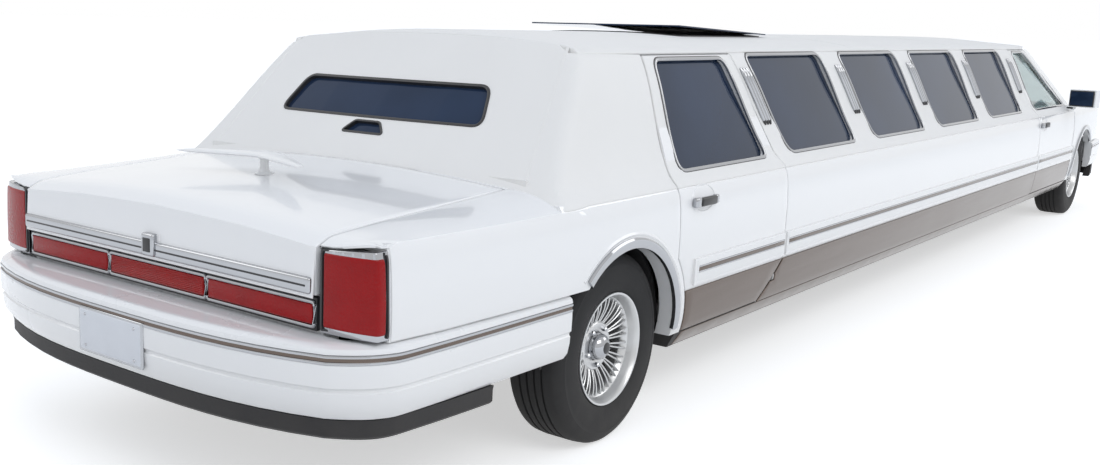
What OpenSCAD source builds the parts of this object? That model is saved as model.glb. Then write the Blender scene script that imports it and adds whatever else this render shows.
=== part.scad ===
/* [Overall] */
// Wheelbase of the sedan that was lengthened
base_wheelbase = 2982; // [2700:1:3200]
// Length of the section let in behind the front doors
stretch = 4572; // [3000:1:6000]
// Rear bumper face to rear wheel centre
rear_overhang = 1468; // [1300:1:1700]
// Front wheel centre to front bumper face
front_overhang = 1110; // [950:1:1300]
// Overall width over the side mouldings
width = 1948; // [1800:1:2100]
// Height of the roof above the ground
height = 1445; // [1380:1:1750]

/* [Wheels] */
// Tyre radius
tyre_r = 348; // [320:1:356]
// Tyre width
tyre_w = 225; // [195:1:235]
// Radius of the rim flange
rim_r = 205; // [180:1:225]
// Distance between the rear wheels' middle planes
track = 1600; // [1500:1:1640]

/* [Body] */
// Height of the top of the sills and the underside of the floor
sill_z = 330; // [300:1:360]
// Height of the belt line, where the padded top begins
belt_z = 905; // [880:1:930]
// Gap round each door and lid
shut_gap = 7; // [6:1:10]
// Thickness of a door and of the lower side walls
wall_t = 125; // [115:1:140]
// Thickness of the upper side frames
frame_t = 60; // [50:1:75]
// Number of windows on each side of the lengthened section
window_count = 4; // [2:1:5]
// Width of a side window along its lower edge
window_w = 813; // [500:1:860]

/* [Hinges] */
// Radius of the hinge pins
pin_r = 5; // [4:0.5:6]
// Running clearance round each pin
pin_fit = 0.05; // [0.02:0.01:0.1]

/* [Hidden] */
$fn = 48;

// ---- Stations along the car, +X forward, origin under the middle ----
wheelbase = base_wheelbase + stretch;
length = rear_overhang + wheelbase + front_overhang;
rear_x = -length / 2;
front_x = length / 2;
rear_wheel_x = rear_x + rear_overhang;
front_wheel_x = front_x - front_overhang;
rear_door_x0 = rear_wheel_x + 352;
rear_door_x1 = rear_wheel_x + 1342;
front_door_x0 = rear_door_x1 + stretch;
front_door_x1 = front_wheel_x - 470;
lid_x0 = rear_x + 170;
lid_x1 = rear_x + 1040;
back_x0 = rear_x + 1058;
back_x1 = rear_x + 1430;
screen_x0 = front_wheel_x - 495;
screen_x1 = front_wheel_x - 1215;
hood_x0 = front_wheel_x - 477;
hood_x1 = front_wheel_x + 968;
firewall_x = front_wheel_x - 560;

// ---- Levels ----
half_w = width / 2 - 10;
glass_z0 = belt_z + 40;
glass_z1 = height - 85;
rail_z = height - 73;
roof_edge_z = height - 50;
crease_z = belt_z - 20;
mould_z = [515, 615];
rocker_top_z = 500;
bumper_top_z = 612;
floor_t = 16;
kick_z = 535;
kick_x = [rear_wheel_x + 332, rear_wheel_x + 632];
arch_r = tyre_r + 27;
tub_r = arch_r + 12;
// The front tub also clears the steered tyre
front_tub_r = arch_r + 42;
door_arc_r = arch_r + 78;
tub_y = 640;
front_tub_y = 494;
floor_y = half_w - wall_t - 34;
cowl_y = half_w - wall_t - 39;
rail_y = [400, 478];
rail_h = 95;
quarter_t = 60;
lid_y = 714;
deck_edge_y = lid_y + shut_gap;
lid_z0 = 725;
lid_t = 26;
// The pins of the lids lie lid_in from the hinge edge, lid_pin_drop under the skin
lid_in = 40;
lid_pin_drop = 22;
partition_x = front_door_x0 - 130;
bulkhead_x = rear_x + 1075;
lean = 150;

// ---- Body surfaces ----
// Inset of the side from the widest half-width: [height, inset]
side_inset = [
    [262, 70], [335, 26], [420, 10], [500, 3], [600, 0], [700, 0], [800, 4],
    [crease_z - 25, 11], [crease_z, 18], [belt_z, 30], [glass_z0, 67],
    [glass_z1, 246], [roof_edge_z, 275]];
// Narrowing towards each end: [distance from the bumper face, inset]
rear_taper = [[0, 92], [200, 52], [450, 26], [900, 8], [1400, 0]];
front_taper = [[90, 125], [200, 80], [500, 34], [900, 10], [1300, 0]];
// Middle height of the rear deck and of the hood: [distance, height above the belt]
deck_rise = [[170, -12], [230, 12], [400, 27], [800, 50], [1100, 68]];
hood_rise = [[-477, 80], [0, 57], [500, 20], [850, -15], [968, -37]];

function side_y(x, z) = half_w - lookup(z, side_inset)
    - lookup(x - rear_x, rear_taper) - lookup(front_x - x, front_taper);
function deck_z(x, y) = belt_z + lookup(x - rear_x, deck_rise) - 34 * pow(y / 730, 2);
function hood_z(x, y) = belt_z + lookup(x - front_wheel_x, hood_rise) - 45 * pow(y / 795, 2);
function fender_z(x) = min(crease_z, hood_z(x, 803) - 4);
function roof_z(x, t) = roof_edge_z
    + (50 - 20 * lookup(x, [[back_x1, 1], [back_x1 + 200, 0], [screen_x1 - 500, 0],
                            [screen_x1, 1]])) * (1 - pow(abs(t), 2.4));
function back_x(y, z) = back_x0 + 50 * pow(y / 800, 2)
    + (back_x1 - back_x0) * (z - belt_z - 75) / (roof_edge_z - belt_z - 75);
function screen_x(y, z) = screen_x0 - 60 * pow(y / 800, 2)
    + (screen_x1 - screen_x0) * (z - glass_z0) / (rail_z - glass_z0);

// ---- Helpers ----
// Solid between an outer and an inner surface; outward is along du x dv
module patch(us, vs, outer, inner) {
    nu = len(us);
    nv = len(vs);
    id = function (k, i, j) (k * nu + i) * nv + j;
    pair = function (a, b, c, d) [[a, d, c], [a, c, b]];
    faces = [
        for (i = [0 : nu - 2]) for (j = [0 : nv - 2])
            each pair(id(0, i, j), id(0, i + 1, j), id(0, i + 1, j + 1), id(0, i, j + 1)),
        for (i = [0 : nu - 2]) for (j = [0 : nv - 2])
            each pair(id(1, i, j), id(1, i, j + 1), id(1, i + 1, j + 1), id(1, i + 1, j)),
        for (i = [0 : nu - 2])
            each pair(id(1, i, 0), id(1, i + 1, 0), id(0, i + 1, 0), id(0, i, 0)),
        for (i = [0 : nu - 2])
            each pair(id(0, i, nv - 1), id(0, i + 1, nv - 1), id(1, i + 1, nv - 1), id(1, i, nv - 1)),
        for (j = [0 : nv - 2])
            each pair(id(0, 0, j), id(0, 0, j + 1), id(1, 0, j + 1), id(1, 0, j)),
        for (j = [0 : nv - 2])
            each pair(id(0, nu - 1, j + 1), id(0, nu - 1, j), id(1, nu - 1, j), id(1, nu - 1, j + 1))];
    points = [for (f = [outer, inner]) for (u = us) for (v = vs) f(u, v)];
    polyhedron(points, faces, convexity = 8);
}

// Left side wall over stations xs and levels zs; off stands it out, t is its thickness
module side_wall(xs, zs, t, off = 0) {
    patch(zs, xs,
        function (z, x) [x, side_y(x, z) + off, z],
        function (z, x) [x, side_y(x, z) + off - t, z]);
}

// Polygon in the X-Z plane, run along Y from y0 to y1
module side_prism(pts, y0, y1)
    translate([0, y1, 0]) rotate([90, 0, 0]) linear_extrude(y1 - y0) polygon(pts);

// Polygon in the Y-Z plane, run along X from x0 to x1
module end_prism(pts, x0, x1)
    translate([x0, 0, 0]) rotate([90, 0, 90]) linear_extrude(x1 - x0) polygon(pts);

module both_sides() {
    children();
    mirror([0, 1, 0]) children();
}

// Right-hand copy when side is -1
module on_side(side) mirror([0, side < 0 ? 1 : 0, 0]) children();

module box(lo, hi) translate(lo) cube(hi - lo);

// Cylinder along Y between y0 and y1
module cyl_y(r, y0, y1, x = 0, z = 0, fn = 48)
    translate([x, y1, z]) rotate([90, 0, 0]) cylinder(r = r, h = y1 - y0, $fn = fn);

// Cylinder along X between x0 and x1
module cyl_x(r, x0, x1, y = 0, z = 0)
    translate([x0, y, z]) rotate([0, 90, 0]) cylinder(r = r, h = x1 - x0);

// Polygon with each corner rounded by a short curve that starts r from it
function rounded(pts, r, n = 4) = [
    for (i = [0 : len(pts) - 1])
        let (p = pts[i], a = pts[(i + len(pts) - 1) % len(pts)], b = pts[(i + 1) % len(pts)],
             s = p + r * (a - p) / norm(a - p), e = p + r * (b - p) / norm(b - p))
            for (k = [0 : n]) let (t = k / n)
                (1 - t) * (1 - t) * s + 2 * t * (1 - t) * p + t * t * e];

// Outline pulled in towards its middle by d on average
function pulled_in(pts, d) =
    let (lo = [min([for (p = pts) p[0]]), min([for (p = pts) p[1]])],
         hi = [max([for (p = pts) p[0]]), max([for (p = pts) p[1]])],
         c = (lo + hi) / 2, h = (hi - lo) / 2)
        [for (p = pts) [c[0] + (p[0] - c[0]) * (h[0] - d) / h[0],
                        c[1] + (p[1] - c[1]) * (h[1] - d) / h[1]]];

glass_fit = 0.4;
glass_t = 5;
glass_off = -14;

// ---- Outlines seen from the side ----
// Rear door, g inside its opening
function door_arc_top(g) = tyre_r
    + sqrt(pow(door_arc_r + g, 2) - pow(rear_door_x0 + g - rear_wheel_x, 2));
// Angle over the wheel at which the arc meets the door's upright rear edge
function door_arc_end(g) = acos((rear_door_x0 + g - rear_wheel_x) / (door_arc_r + g));
function rear_door_outline(g) = let (r = door_arc_r + g, top = rail_z - g, a1 = door_arc_end(g)) [
    for (k = [0 : 4]) [rear_wheel_x + r * cos(a1 * k / 5), tyre_r + r * sin(a1 * k / 5)],
    [rear_door_x0 + g, door_arc_top(g)], [rear_door_x0 + g, belt_z],
    [rear_door_x0 + 80 + g, top], [rear_door_x1 - lean - g, top], [rear_door_x1 - g, belt_z],
    [rear_door_x1 - g, rocker_top_z], [rear_door_x1 - 190 - g, sill_z + g],
    [rear_wheel_x + r, sill_z + g]];
// Front door, g inside its opening
function front_door_outline(g) = let (top = rail_z - g) [
    [front_door_x0 + g, sill_z + g], [front_door_x0 + g, belt_z],
    [front_door_x0 - lean + g, top], [screen_x1 - 100 - 2 * g, top],
    [front_door_x1 - 98 - 2 * g, belt_z + 7 - g], [front_door_x1 - g, belt_z + 7 - g],
    [front_door_x1 - g, sill_z + g]];
function rear_window() = rounded([
    [rear_door_x0 + 97, glass_z0], [rear_door_x0 + 153, glass_z1 - 12],
    [rear_door_x1 - 240, glass_z1 - 12], [rear_door_x1 - 106, glass_z0]], 45);
function front_window() = rounded([
    [front_door_x0 + 50, glass_z0], [front_door_x0 - 88, glass_z1 - 12],
    [screen_x1 - 190, glass_z1 - 12], [front_door_x1 - 215, glass_z0]], 45);
// Distances from the doors' upright shut lines to the first and the last window
first_pillar = 143;
last_pillar = 328;
window_pitch = (stretch - first_pillar - last_pillar - window_w) / max(window_count - 1, 1);
function stretch_window(n) = let (x = rear_door_x1 + first_pillar + n * window_pitch) rounded([
    [x, glass_z0], [x - lean - 15, glass_z1], [x + window_w - 130, glass_z1],
    [x + window_w, glass_z0]], 50);

// ---- Door hinges: [pin x behind the shut line, pin y, arm depth, levels] ----
hinge_back = 90;
hinge_y = half_w - 22;
arm_y = hinge_y - 92;
barrel_r = pin_r + 3;
hinge_levels = [505, 745];
barrel_h = 40;

// Body half of a door hinge: pin, and the bent arm that carries it
module door_hinge_fixed(x1) {
    px = x1 - hinge_back;
    for (z = hinge_levels) {
        translate([px, hinge_y, z]) cylinder(r = pin_r, h = barrel_h + 12);
        translate([px, hinge_y, z + barrel_h + 1]) cylinder(r = barrel_r, h = 11);
        box([px - 7, arm_y - 7, z + barrel_h + 1], [px + 7, hinge_y, z + barrel_h + 12]);
        box([px - 7, arm_y - 7, z + barrel_h + 1], [x1 + 12, arm_y + 7, z + barrel_h + 12]);
    }
}

// Door half: barrel and the web that joins it to the door
module door_hinge_moving(x1) {
    px = x1 - hinge_back;
    for (z = hinge_levels)
        difference() {
            union() {
                translate([px, hinge_y, z]) cylinder(r = barrel_r, h = barrel_h);
                box([px - 62, hinge_y - 5, z], [px - pin_r - 1, hinge_y + 5, z + barrel_h]);
            }
            translate([px, hinge_y, z - 1]) cylinder(r = pin_r + pin_fit, h = barrel_h + 2);
        }
}

// Clear space round the hinges inside a door
module hinge_pockets(x1) {
    for (z = hinge_levels)
        box([x1 - hinge_back - 50, half_w - wall_t - 60, z - 14],
            [x1 + 20, half_w - 9, z + barrel_h + 26]);
}

door_levels = [sill_z, 335, 420, 500, 600, 700, 800, crease_z - 25, crease_z, belt_z, glass_z0,
               glass_z1, rail_z];
low_levels = [sill_z, 335, 420, 500, 600, 700, 800, crease_z - 25, crease_z, belt_z];
high_levels = [belt_z, glass_z0, glass_z1, rail_z];

// One door: thin skin over its whole outline, box behind it, moulding and handle
module door_body(xs, outline, inner_outline, window, x1, handle_x) {
    difference() {
        union() {
            intersection() {
                side_wall(xs, door_levels, 7);
                side_prism(outline, 0, width);
            }
            difference() {
                union() {
                    intersection() {
                        side_wall(xs, low_levels, wall_t - 4, -4);
                        side_prism(inner_outline, 0, width);
                    }
                    intersection() {
                        side_wall(xs, high_levels, frame_t - 4, -4);
                        side_prism(inner_outline, 0, width);
                    }
                }
                hinge_pockets(x1);
            }
        }
        side_prism(window, 0, width);
    }
    door_hinge_moving(x1);
    // handle dish bar
    translate([handle_x, side_y(handle_x, 835) - 4, 820]) cube([130, 20, 26]);
}

module rear_door(side) on_side(side) {
    xs = [rear_door_x0 - 60, rear_door_x1 + 10];
    door_body(xs, rear_door_outline(shut_gap), rear_door_outline(shut_gap + 25), rear_window(),
        rear_door_x1, rear_door_x0 + 150);
    box([rear_door_x0 + 130, half_w - 2, mould_z[0]],
        [rear_door_x1 - shut_gap - 8, half_w + 10, mould_z[1]]);
}

module front_door(side) on_side(side) {
    xs = [front_door_x0 - 200, front_door_x0, front_wheel_x - 900, front_door_x1 + 10];
    door_body(xs, front_door_outline(shut_gap), front_door_outline(shut_gap + 25),
        front_window(), front_door_x1, front_door_x0 + 80);
    box([front_door_x0 + shut_gap + 8, half_w - 2, mould_z[0]],
        [front_door_x1 - shut_gap - 8, half_w + 10, mould_z[1]]);
    mirror_x = front_door_x1 - 212;
    translate([mirror_x, side_y(mirror_x, belt_z) - 12, belt_z + 4]) cube([50, 62, 32]);
    translate([mirror_x - 25, side_y(mirror_x, belt_z) + 12, belt_z + 30])
        rotate([0, 0, 8]) cube([95, 185, 135]);
}

module pane(window, xs) intersection() {
    side_wall(xs, high_levels, glass_t, glass_off);
    side_prism(pulled_in(window, glass_fit), 0, width);
}

module rear_door_glass(side) on_side(side)
    pane(rear_window(), [rear_door_x0, rear_door_x1]);

module front_door_glass(side) on_side(side)
    pane(front_window(), [front_door_x0 - 200, front_door_x0, front_wheel_x - 900, front_door_x1]);

// ---- Lower structure ----
// Underside line of the floor, front to back
function floor_line() = [
    [firewall_x + 30, sill_z], [kick_x[1], sill_z], [kick_x[0], kick_z], [rear_x + 262, kick_z]];

module frame_rails() color("#2b2b2d") {
    line = floor_line();
    low = [for (p = line) [p[0], p[1] - rail_h]];
    both_sides() side_prism([
        [front_x - 160, sill_z], line[0], line[1], line[2], [rear_x + 200, kick_z],
        [rear_x + 200, kick_z - rail_h], low[2], low[1], low[0], [front_x - 160, sill_z - rail_h]],
        rail_y[0], rail_y[1]);
    for (x = [rear_door_x1 : stretch / 4 : front_door_x0 + 10])
        box([x - 40, -rail_y[0], sill_z - 30], [x + 40, rail_y[0], sill_z - 5]);
    box([rear_x + 220, -rail_y[0], kick_z - 80], [rear_x + 290, rail_y[0], kick_z]);
    box([front_x - 240, -rail_y[0], sill_z - 80], [front_x - 180, rail_y[0], sill_z - 10]);
}

module floor_pan() color("#3a3a3c") {
    line = floor_line();
    top = [for (i = [3 : -1 : 0]) [line[i][0], line[i][1] + floor_t]];
    difference() {
        side_prism(concat(line, top), -floor_y, floor_y);
        both_sides() box([rear_wheel_x - tub_r - 14, tub_y, 0],
                         [rear_wheel_x + tub_r + 14, width, height]);
        both_sides() box([rear_x, 790, 0], [rear_wheel_x, width, height]);
    }
    // sills under the floor's edges
    both_sides() intersection() {
        side_wall([rear_door_x0 + 60, front_wheel_x - 900, front_wheel_x - front_tub_r - 14],
            [262, sill_z], 150);
        side_prism([[rear_door_x0 + 75, sill_z], [rear_door_x0 + 95, 262],
            [front_wheel_x - front_tub_r - 24, 262],
            [front_wheel_x - front_tub_r - 14, sill_z]], 0, width);
    }
}

// Wheel tub: part-round shell over a wheel
tub_t = 12;
module tub(x, r, y0, y1) {
    intersection() {
        difference() {
            cyl_y(r + tub_t, y0, y1, x, tyre_r, 72);
            cyl_y(r, y0 - 1, y1 + 1, x, tyre_r, 72);
        }
        box([x - r - 20, y0, sill_z + 20], [x + r + 20, y1, height]);
    }
}

// Inner wall of a rear tub, open over the axle
module tub_wall(x, r, y0) difference() {
    intersection() {
        cyl_y(r + 1, y0, y0 + 10, x, tyre_r, 72);
        box([x - r, y0, sill_z + 20], [x + r, y0 + 10, height]);
    }
    box([x - 60, y0 - 1, 0], [x + 60, y0 + 12, tyre_r + 60]);
}

module wheelhouses() color("#1c1c1e") both_sides() {
    tub(rear_wheel_x, tub_r, tub_y, half_w - 92);
    tub_wall(rear_wheel_x, tub_r, tub_y);
    tub(front_wheel_x, front_tub_r, front_tub_y, half_w - 92);
}

module cowl_and_pillars() color("#e9e9ea") {
    box([firewall_x, -cowl_y, sill_z + floor_t], [firewall_x + 30, cowl_y, belt_z + 30]);
    box([firewall_x - 25, -cowl_y + 20, belt_z + 5], [hood_x0 - 32, cowl_y - 20, belt_z + 30]);
    post_x = front_wheel_x - front_tub_r - tub_t - 0.3;
    both_sides() {
        box([firewall_x + 30, cowl_y - 15, sill_z + 20], [post_x, cowl_y, belt_z - 30]);
        box([front_door_x1 + 4, cowl_y, sill_z], [post_x, half_w - 80, belt_z - 30]);
        door_hinge_fixed(front_door_x1);
        // sloping pillar beside the windshield
        intersection() {
            side_wall([screen_x1 - 200, front_wheel_x - 900, front_door_x1],
                [belt_z, glass_z0, glass_z1, rail_z], frame_t);
            side_prism([[front_door_x1 - 96, belt_z + 8], [front_door_x1 - 7, belt_z + 8],
                [front_door_x1 - 7, glass_z0], [screen_x1 + 15, rail_z],
                [screen_x1 - 97, rail_z]], 0, width);
        }
    }
    for (y = [-560, 560]) hood_hinge_fixed(y);
}

module engine_block() color("#55565a")
    box([front_wheel_x - 330, -260, sill_z - 65], [front_wheel_x + 420, 260, 780]);

// Level of the propeller shaft and the exhaust pipe
shaft_z = sill_z - 80;

module exhaust() color("#8d8f92") {
    cyl_x(28, rear_wheel_x + 700, front_wheel_x - 700, 300, shaft_z);
    cyl_x(48, rear_wheel_x + 1500, rear_wheel_x + 2200, 300, shaft_z);
    for (x = [rear_wheel_x + 1550, rear_wheel_x + 2150, front_wheel_x - 1500])
        box([x - 15, 290, shaft_z + 20], [x + 15, 310, sill_z]);
}

module fuel_tank() color("#4a4b4e")
    box([rear_x + 560, -380, 300], [rear_wheel_x - 180, 380, kick_z]);

module rear_axle() color("#2f3033") {
    cyl_y(38, -hub_y(track), hub_y(track), rear_wheel_x, tyre_r);
    translate([rear_wheel_x, 0, tyre_r]) sphere(r = 120, $fn = 40);
    cyl_x(38, rear_wheel_x + 40, front_wheel_x - 900, 0, shaft_z);
    both_sides() {
        translate([rear_wheel_x, 440, tyre_r + 30]) cylinder(r = 45, h = kick_z - rail_h - tyre_r - 30);
        cyl_y(spindle_r, hub_y(track) - 1, hub_y(track) + spindle_l, rear_wheel_x, tyre_r);
        cyl_y(130, hub_y(track) - 30, hub_y(track) - 8, rear_wheel_x, tyre_r);
    }
}

spindle_r = 22;
spindle_l = 74;
// Outboard end of the fixed hub: the wheel disc runs just outside it
function hub_y(t) = t / 2 - 40;
king_y = track / 2 - 98;
arm_w = 60;

module front_suspension() color("#303134") {
    box([front_wheel_x - 70, -rail_y[0], sill_z - 95], [front_wheel_x + 70, rail_y[0], sill_z - 65]);
    both_sides() {
        for (z = [250, 430])
            difference() {
                union() {
                    box([front_wheel_x - arm_w / 2, rail_y[1], z],
                        [front_wheel_x + arm_w / 2, king_y - 20, z + 24]);
                    box([front_wheel_x - 22, king_y - 30, z], [front_wheel_x + 22, king_y, z + 24]);
                    translate([front_wheel_x, king_y, z]) cylinder(r = 24, h = 24);
                }
                translate([front_wheel_x, king_y, z - 1]) cylinder(r = 12 + pin_fit, h = 26);
            }
        box([front_wheel_x - 45, rail_y[1], 245], [front_wheel_x + 45, rail_y[1] + 14, 470]);
    }
}

// Steering knuckle: upright between the arms, king pin, spindle and brake disc
module knuckle(side) color("#3d3e42") on_side(side) {
    translate([front_wheel_x, king_y, 246]) cylinder(r = 12, h = 212);
    translate([front_wheel_x, king_y, 280]) cylinder(r = 32, h = 144);
    box([front_wheel_x - 30, king_y, 300], [front_wheel_x + 30, hub_y(track) - 8, 396]);
    cyl_y(spindle_r, hub_y(track) - 10, hub_y(track) + spindle_l, front_wheel_x, tyre_r);
    cyl_y(130, hub_y(track) - 30, hub_y(track) - 8, front_wheel_x, tyre_r);
}

// ---- Wheels ----
module tyre(x, side) color("#1b1b1c") on_side(side) translate([x, track / 2, tyre_r])
    rotate([90, 0, 0]) rotate_extrude($fn = 96) polygon([
        [rim_r - 6, -tyre_w / 2 + 22], [rim_r + 12, -tyre_w / 2 + 4], [tyre_r - 70, -tyre_w / 2],
        [tyre_r - 22, -tyre_w / 2 + 10], [tyre_r, -tyre_w / 2 + 34], [tyre_r, tyre_w / 2 - 34],
        [tyre_r - 22, tyre_w / 2 - 10], [tyre_r - 70, tyre_w / 2], [rim_r + 12, tyre_w / 2 - 4],
        [rim_r - 6, tyre_w / 2 - 22]]);

// Disc wheel: rim barrel, dished disc with slots between the spokes, and hub with its bore
module rim(x, side) color("#c9cbce") on_side(side) translate([x, track / 2, tyre_r])
    rotate([90, 0, 0]) difference() {
        union() {
            rotate_extrude($fn = 96) polygon([
                [rim_r - 6, -tyre_w / 2 + 22], [rim_r - 6, tyre_w / 2 - 22],
                [rim_r - 24, tyre_w / 2 - 22], [rim_r - 24, -34], [70, -22], [44, -22], [44, 36],
                [0, 36], [0, -50], [44, -50], [70, -46], [rim_r - 24, -62],
                [rim_r - 24, -tyre_w / 2 + 22]]);
        }
        translate([0, 0, -36]) cylinder(r = spindle_r + pin_fit, h = 90);
        for (a = [0 : 36 : 359]) rotate([0, 0, a])
            translate([130, 0, -80]) cylinder(r = 22, h = 80, $fn = 24);
    }

// ---- Body panels ----
rear_stations = [rear_x + 250, rear_x + 450, rear_x + 800, back_x0 - 8];

module rear_quarters() color("#f1f1f2") both_sides() {
    difference() {
        union() {
            difference() {
                side_wall([rear_x + 250, rear_x + 450, rear_x + 900, rear_x + 1400, rear_door_x1],
                    low_levels, quarter_t);
                box([rear_x, 0, crease_z], [back_x0 - 8, width, height]);
                rear_quarter_front();
            }
            // shoulder between the side and the trunk lid
            patch(rear_stations, [0, 0.35, 0.7, 1],
                function (x, t) shoulder(x, 1 - t, deck_edge_y, deck_z(x, deck_edge_y)),
                function (x, t) shoulder(x, 1 - t, deck_edge_y, deck_z(x, deck_edge_y)) - [0, 0, 26]);
        }
        cyl_y(arch_r, 0, width, rear_wheel_x, tyre_r, 72);
        box([rear_x, 0, 0], [rear_wheel_x, width, bumper_top_z + 3]);
    }
}

// Everything ahead of the quarter panel's front edge, which follows the door
module rear_quarter_front()
    side_prism(concat(
        [for (k = [0 : 4]) let (a = door_arc_end(0) * k / 5)
            [rear_wheel_x + door_arc_r * cos(a), tyre_r + door_arc_r * sin(a)]],
        [[rear_door_x0, door_arc_top(0)], [rear_door_x0, height], [front_x, height], [front_x, 0],
        [rear_wheel_x + door_arc_r, 0]]), 0, width);

// Point on a shoulder: t = 1 at the inner edge, 0 at the crease
function shoulder(x, t, y_in, z_in) = let (yc = side_y(x, crease_z))
    [x, yc + (y_in - yc) * t, crease_z + (z_in - crease_z) * (1 - pow(1 - t, 2))];

module stretch_sides() color("#f1f1f2") both_sides() {
    difference() {
        side_wall([rear_door_x1 - 200, front_door_x0], low_levels, wall_t);
        side_prism(rear_door_outline(0), 0, width);
        box([rear_door_x1 - 400, 0, 0], [rear_door_x1 - 190, width, height]);
        // room for the door's sloping edge where it passes the hinge line
        translate([rear_door_x1 - hinge_back, hinge_y, rocker_top_z - 100]) cylinder(r = 24, h = 55);
    }
    box([rear_door_x1 + 8, half_w - 2, mould_z[0]], [front_door_x0 - 8, half_w + 10, mould_z[1]]);
    door_hinge_fixed(rear_door_x1);
}

module rocker_covers() color("#7b746d") both_sides()
    side_wall([rear_door_x1 + 2, front_door_x0 - 2], [335, 420, rocker_top_z], 2.5, 2.6);

module upper_frames() color("#ecebe6") both_sides() difference() {
    side_wall([rear_door_x1 - lean - 20, front_door_x0], high_levels, frame_t);
    side_prism(rear_door_outline(0), 0, width);
    side_prism(front_door_outline(0), 0, width);
    for (n = [0 : window_count - 1]) side_prism(stretch_window(n), 0, width);
}

module side_glass() color("#2c3038") both_sides()
    for (n = [0 : window_count - 1])
        pane(stretch_window(n), [rear_door_x1 - lean, front_door_x0]);

bar_r = 9;
bar_pitch = 24;
// Three upright bars on each pillar of the lengthened section
module pillar_bars() color("#d4d6d8") both_sides()
    for (n = [0 : window_count]) for (k = [-1 : 1]) {
        x = rear_door_x1 + 60 + n * window_pitch + k * bar_pitch;
        z0 = belt_z + 165;
        z1 = glass_z1 - 50;
        dx = -(lean + 15) * (z1 - z0) / (glass_z1 - glass_z0);
        low = [x - 50, side_y(x, z0) + bar_r + 0.3, z0];
        dy = side_y(x, z1) - side_y(x, z0);
        translate(low) multmatrix([[1, 0, dx / (z1 - z0), 0], [0, 1, dy / (z1 - z0), 0],
            [0, 0, 1, 0], [0, 0, 0, 1]]) translate([-bar_r, -bar_r, 0]) cube([2 * bar_r, 2 * bar_r, z1 - z0]);
    }

roof_t = 23;
roof_ts = [-1, -0.85, -0.6, -0.3, 0, 0.3, 0.6, 0.85, 1];
roof_stations = [back_x1, back_x1 + 200, screen_x1 - 500, screen_x1];
sunroof_tilt = 2;
sunroof = [[rear_door_x1 + 20, -380], [rear_door_x1 + 920, 380]];

module vinyl_roof() color("#eceae4") {
    difference() {
        union() {
            patch(roof_stations, roof_ts,
                function (x, t) [x, t * side_y(x, roof_edge_z), roof_z(x, t)],
                function (x, t) [x, t * side_y(x, roof_edge_z), roof_z(x, t) - roof_t]);
            both_sides() side_wall([back_x1, screen_x1], [rail_z, roof_edge_z], frame_t);
            // headers across the front and the back of the roof
            for (x = [back_x1, screen_x1 - 70])
                patch([x, x + 70], roof_ts,
                    function (x, t) [x, t * side_y(x, roof_edge_z), roof_z(x, t) - 5],
                    function (x, t) [x, t * side_y(x, roof_edge_z), rail_z]);
            // back panel
            patch([belt_z + 75, 1150, 1300, roof_edge_z], [-1, -0.7, -0.35, 0, 0.35, 0.7, 1],
                function (z, t) let (y = t * (side_y(back_x0, z) - 3)) [back_x(y, z), y, z],
                function (z, t) let (y = t * (side_y(back_x0, z) - 3)) [back_x(y, z) + 45, y, z]);
            both_sides() difference() {
                side_wall([back_x0, rear_x + 1400, rear_door_x0 + 100], concat(high_levels, [roof_edge_z]), frame_t);
                side_prism(rear_door_outline(0), 0, width);
                box([rear_door_x0 + 80, 0, 0], [rear_door_x0 + 200, width, rail_z]);
                side_prism([[back_x0 - 50, belt_z + 75], [back_x0 + 50, belt_z + 75],
                    [back_x1 + 50, roof_edge_z], [back_x1 + 50, height + 50],
                    [back_x0 - 50, height + 50]], 0, width);
            }
        }
        end_prism(back_window(), back_x0 - 100, back_x1 + 100);
        end_prism(brake_window(), back_x0 - 100, back_x1 + 100);
        box([sunroof[0][0], sunroof[0][1], 1300], [sunroof[1][0], sunroof[1][1], 1600]);
    }
}

function back_window() = rounded([[-500, belt_z + 213], [500, belt_z + 213],
    [450, belt_z + 345], [-450, belt_z + 345]], 40);
function brake_window() = [[-100, belt_z + 157], [100, belt_z + 157], [60, belt_z + 195],
    [-60, belt_z + 195]];

module back_glass() color("#23262b") intersection() {
    patch([belt_z + 75, 1150, 1300, roof_edge_z], [-1, -0.7, -0.35, 0, 0.35, 0.7, 1],
        function (z, t) let (y = t * 800) [back_x(y, z) + 12, y, z],
        function (z, t) let (y = t * 800) [back_x(y, z) + 20, y, z]);
    union() {
        end_prism(pulled_in(back_window(), glass_fit), back_x0 - 100, back_x1 + 100);
        end_prism(pulled_in(brake_window(), glass_fit), back_x0 - 100, back_x1 + 100);
    }
}

module windshield() color("#5d6a72")
    patch([-1, -0.6, 0, 0.6, 1], [glass_z0, 1150, rail_z - 0.5],
        function (t, z) let (y = t * (side_y(screen_x0, z) - frame_t - 22)) [screen_x(y, z), y, z],
        function (t, z) let (y = t * (side_y(screen_x0, z) - frame_t - 22)) [screen_x(y, z) - 8, y, z]);

module sunroof_glass() color("#30343a")
    translate([sunroof[1][0] + 20, 0, roof_z(sunroof[0][0], 0) + 0.3]) rotate([0, sunroof_tilt, 0])
        box([sunroof[0][0] - sunroof[1][0] - 40, -400, 0], [0, 400, 6]);

// ---- Tail ----
lamp_y0 = lid_y + shut_gap + 1;
lamp_z = [bumper_top_z + 3, crease_z - 15];

module tail_panel() color("#e8e8ea")
    box([rear_x + 200, -lamp_y0 + 4, kick_z], [rear_x + 262, lamp_y0 - 4, lid_z0 - shut_gap]);

module tail_lamps() color("#a3161b") both_sides() intersection() {
    patch([lamp_z[0], 700, lamp_z[1]], [0, 1],
        function (z, t) [rear_x + 178 + 30 * t, lamp_y0 + t * (side_y(rear_x + 200, z) - lamp_y0), z],
        function (z, t) [rear_x + 249.5, lamp_y0 + t * (side_y(rear_x + 250, z) - lamp_y0), z]);
    box([rear_x, 0, 0], [rear_wheel_x, width, height]);
}

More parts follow.
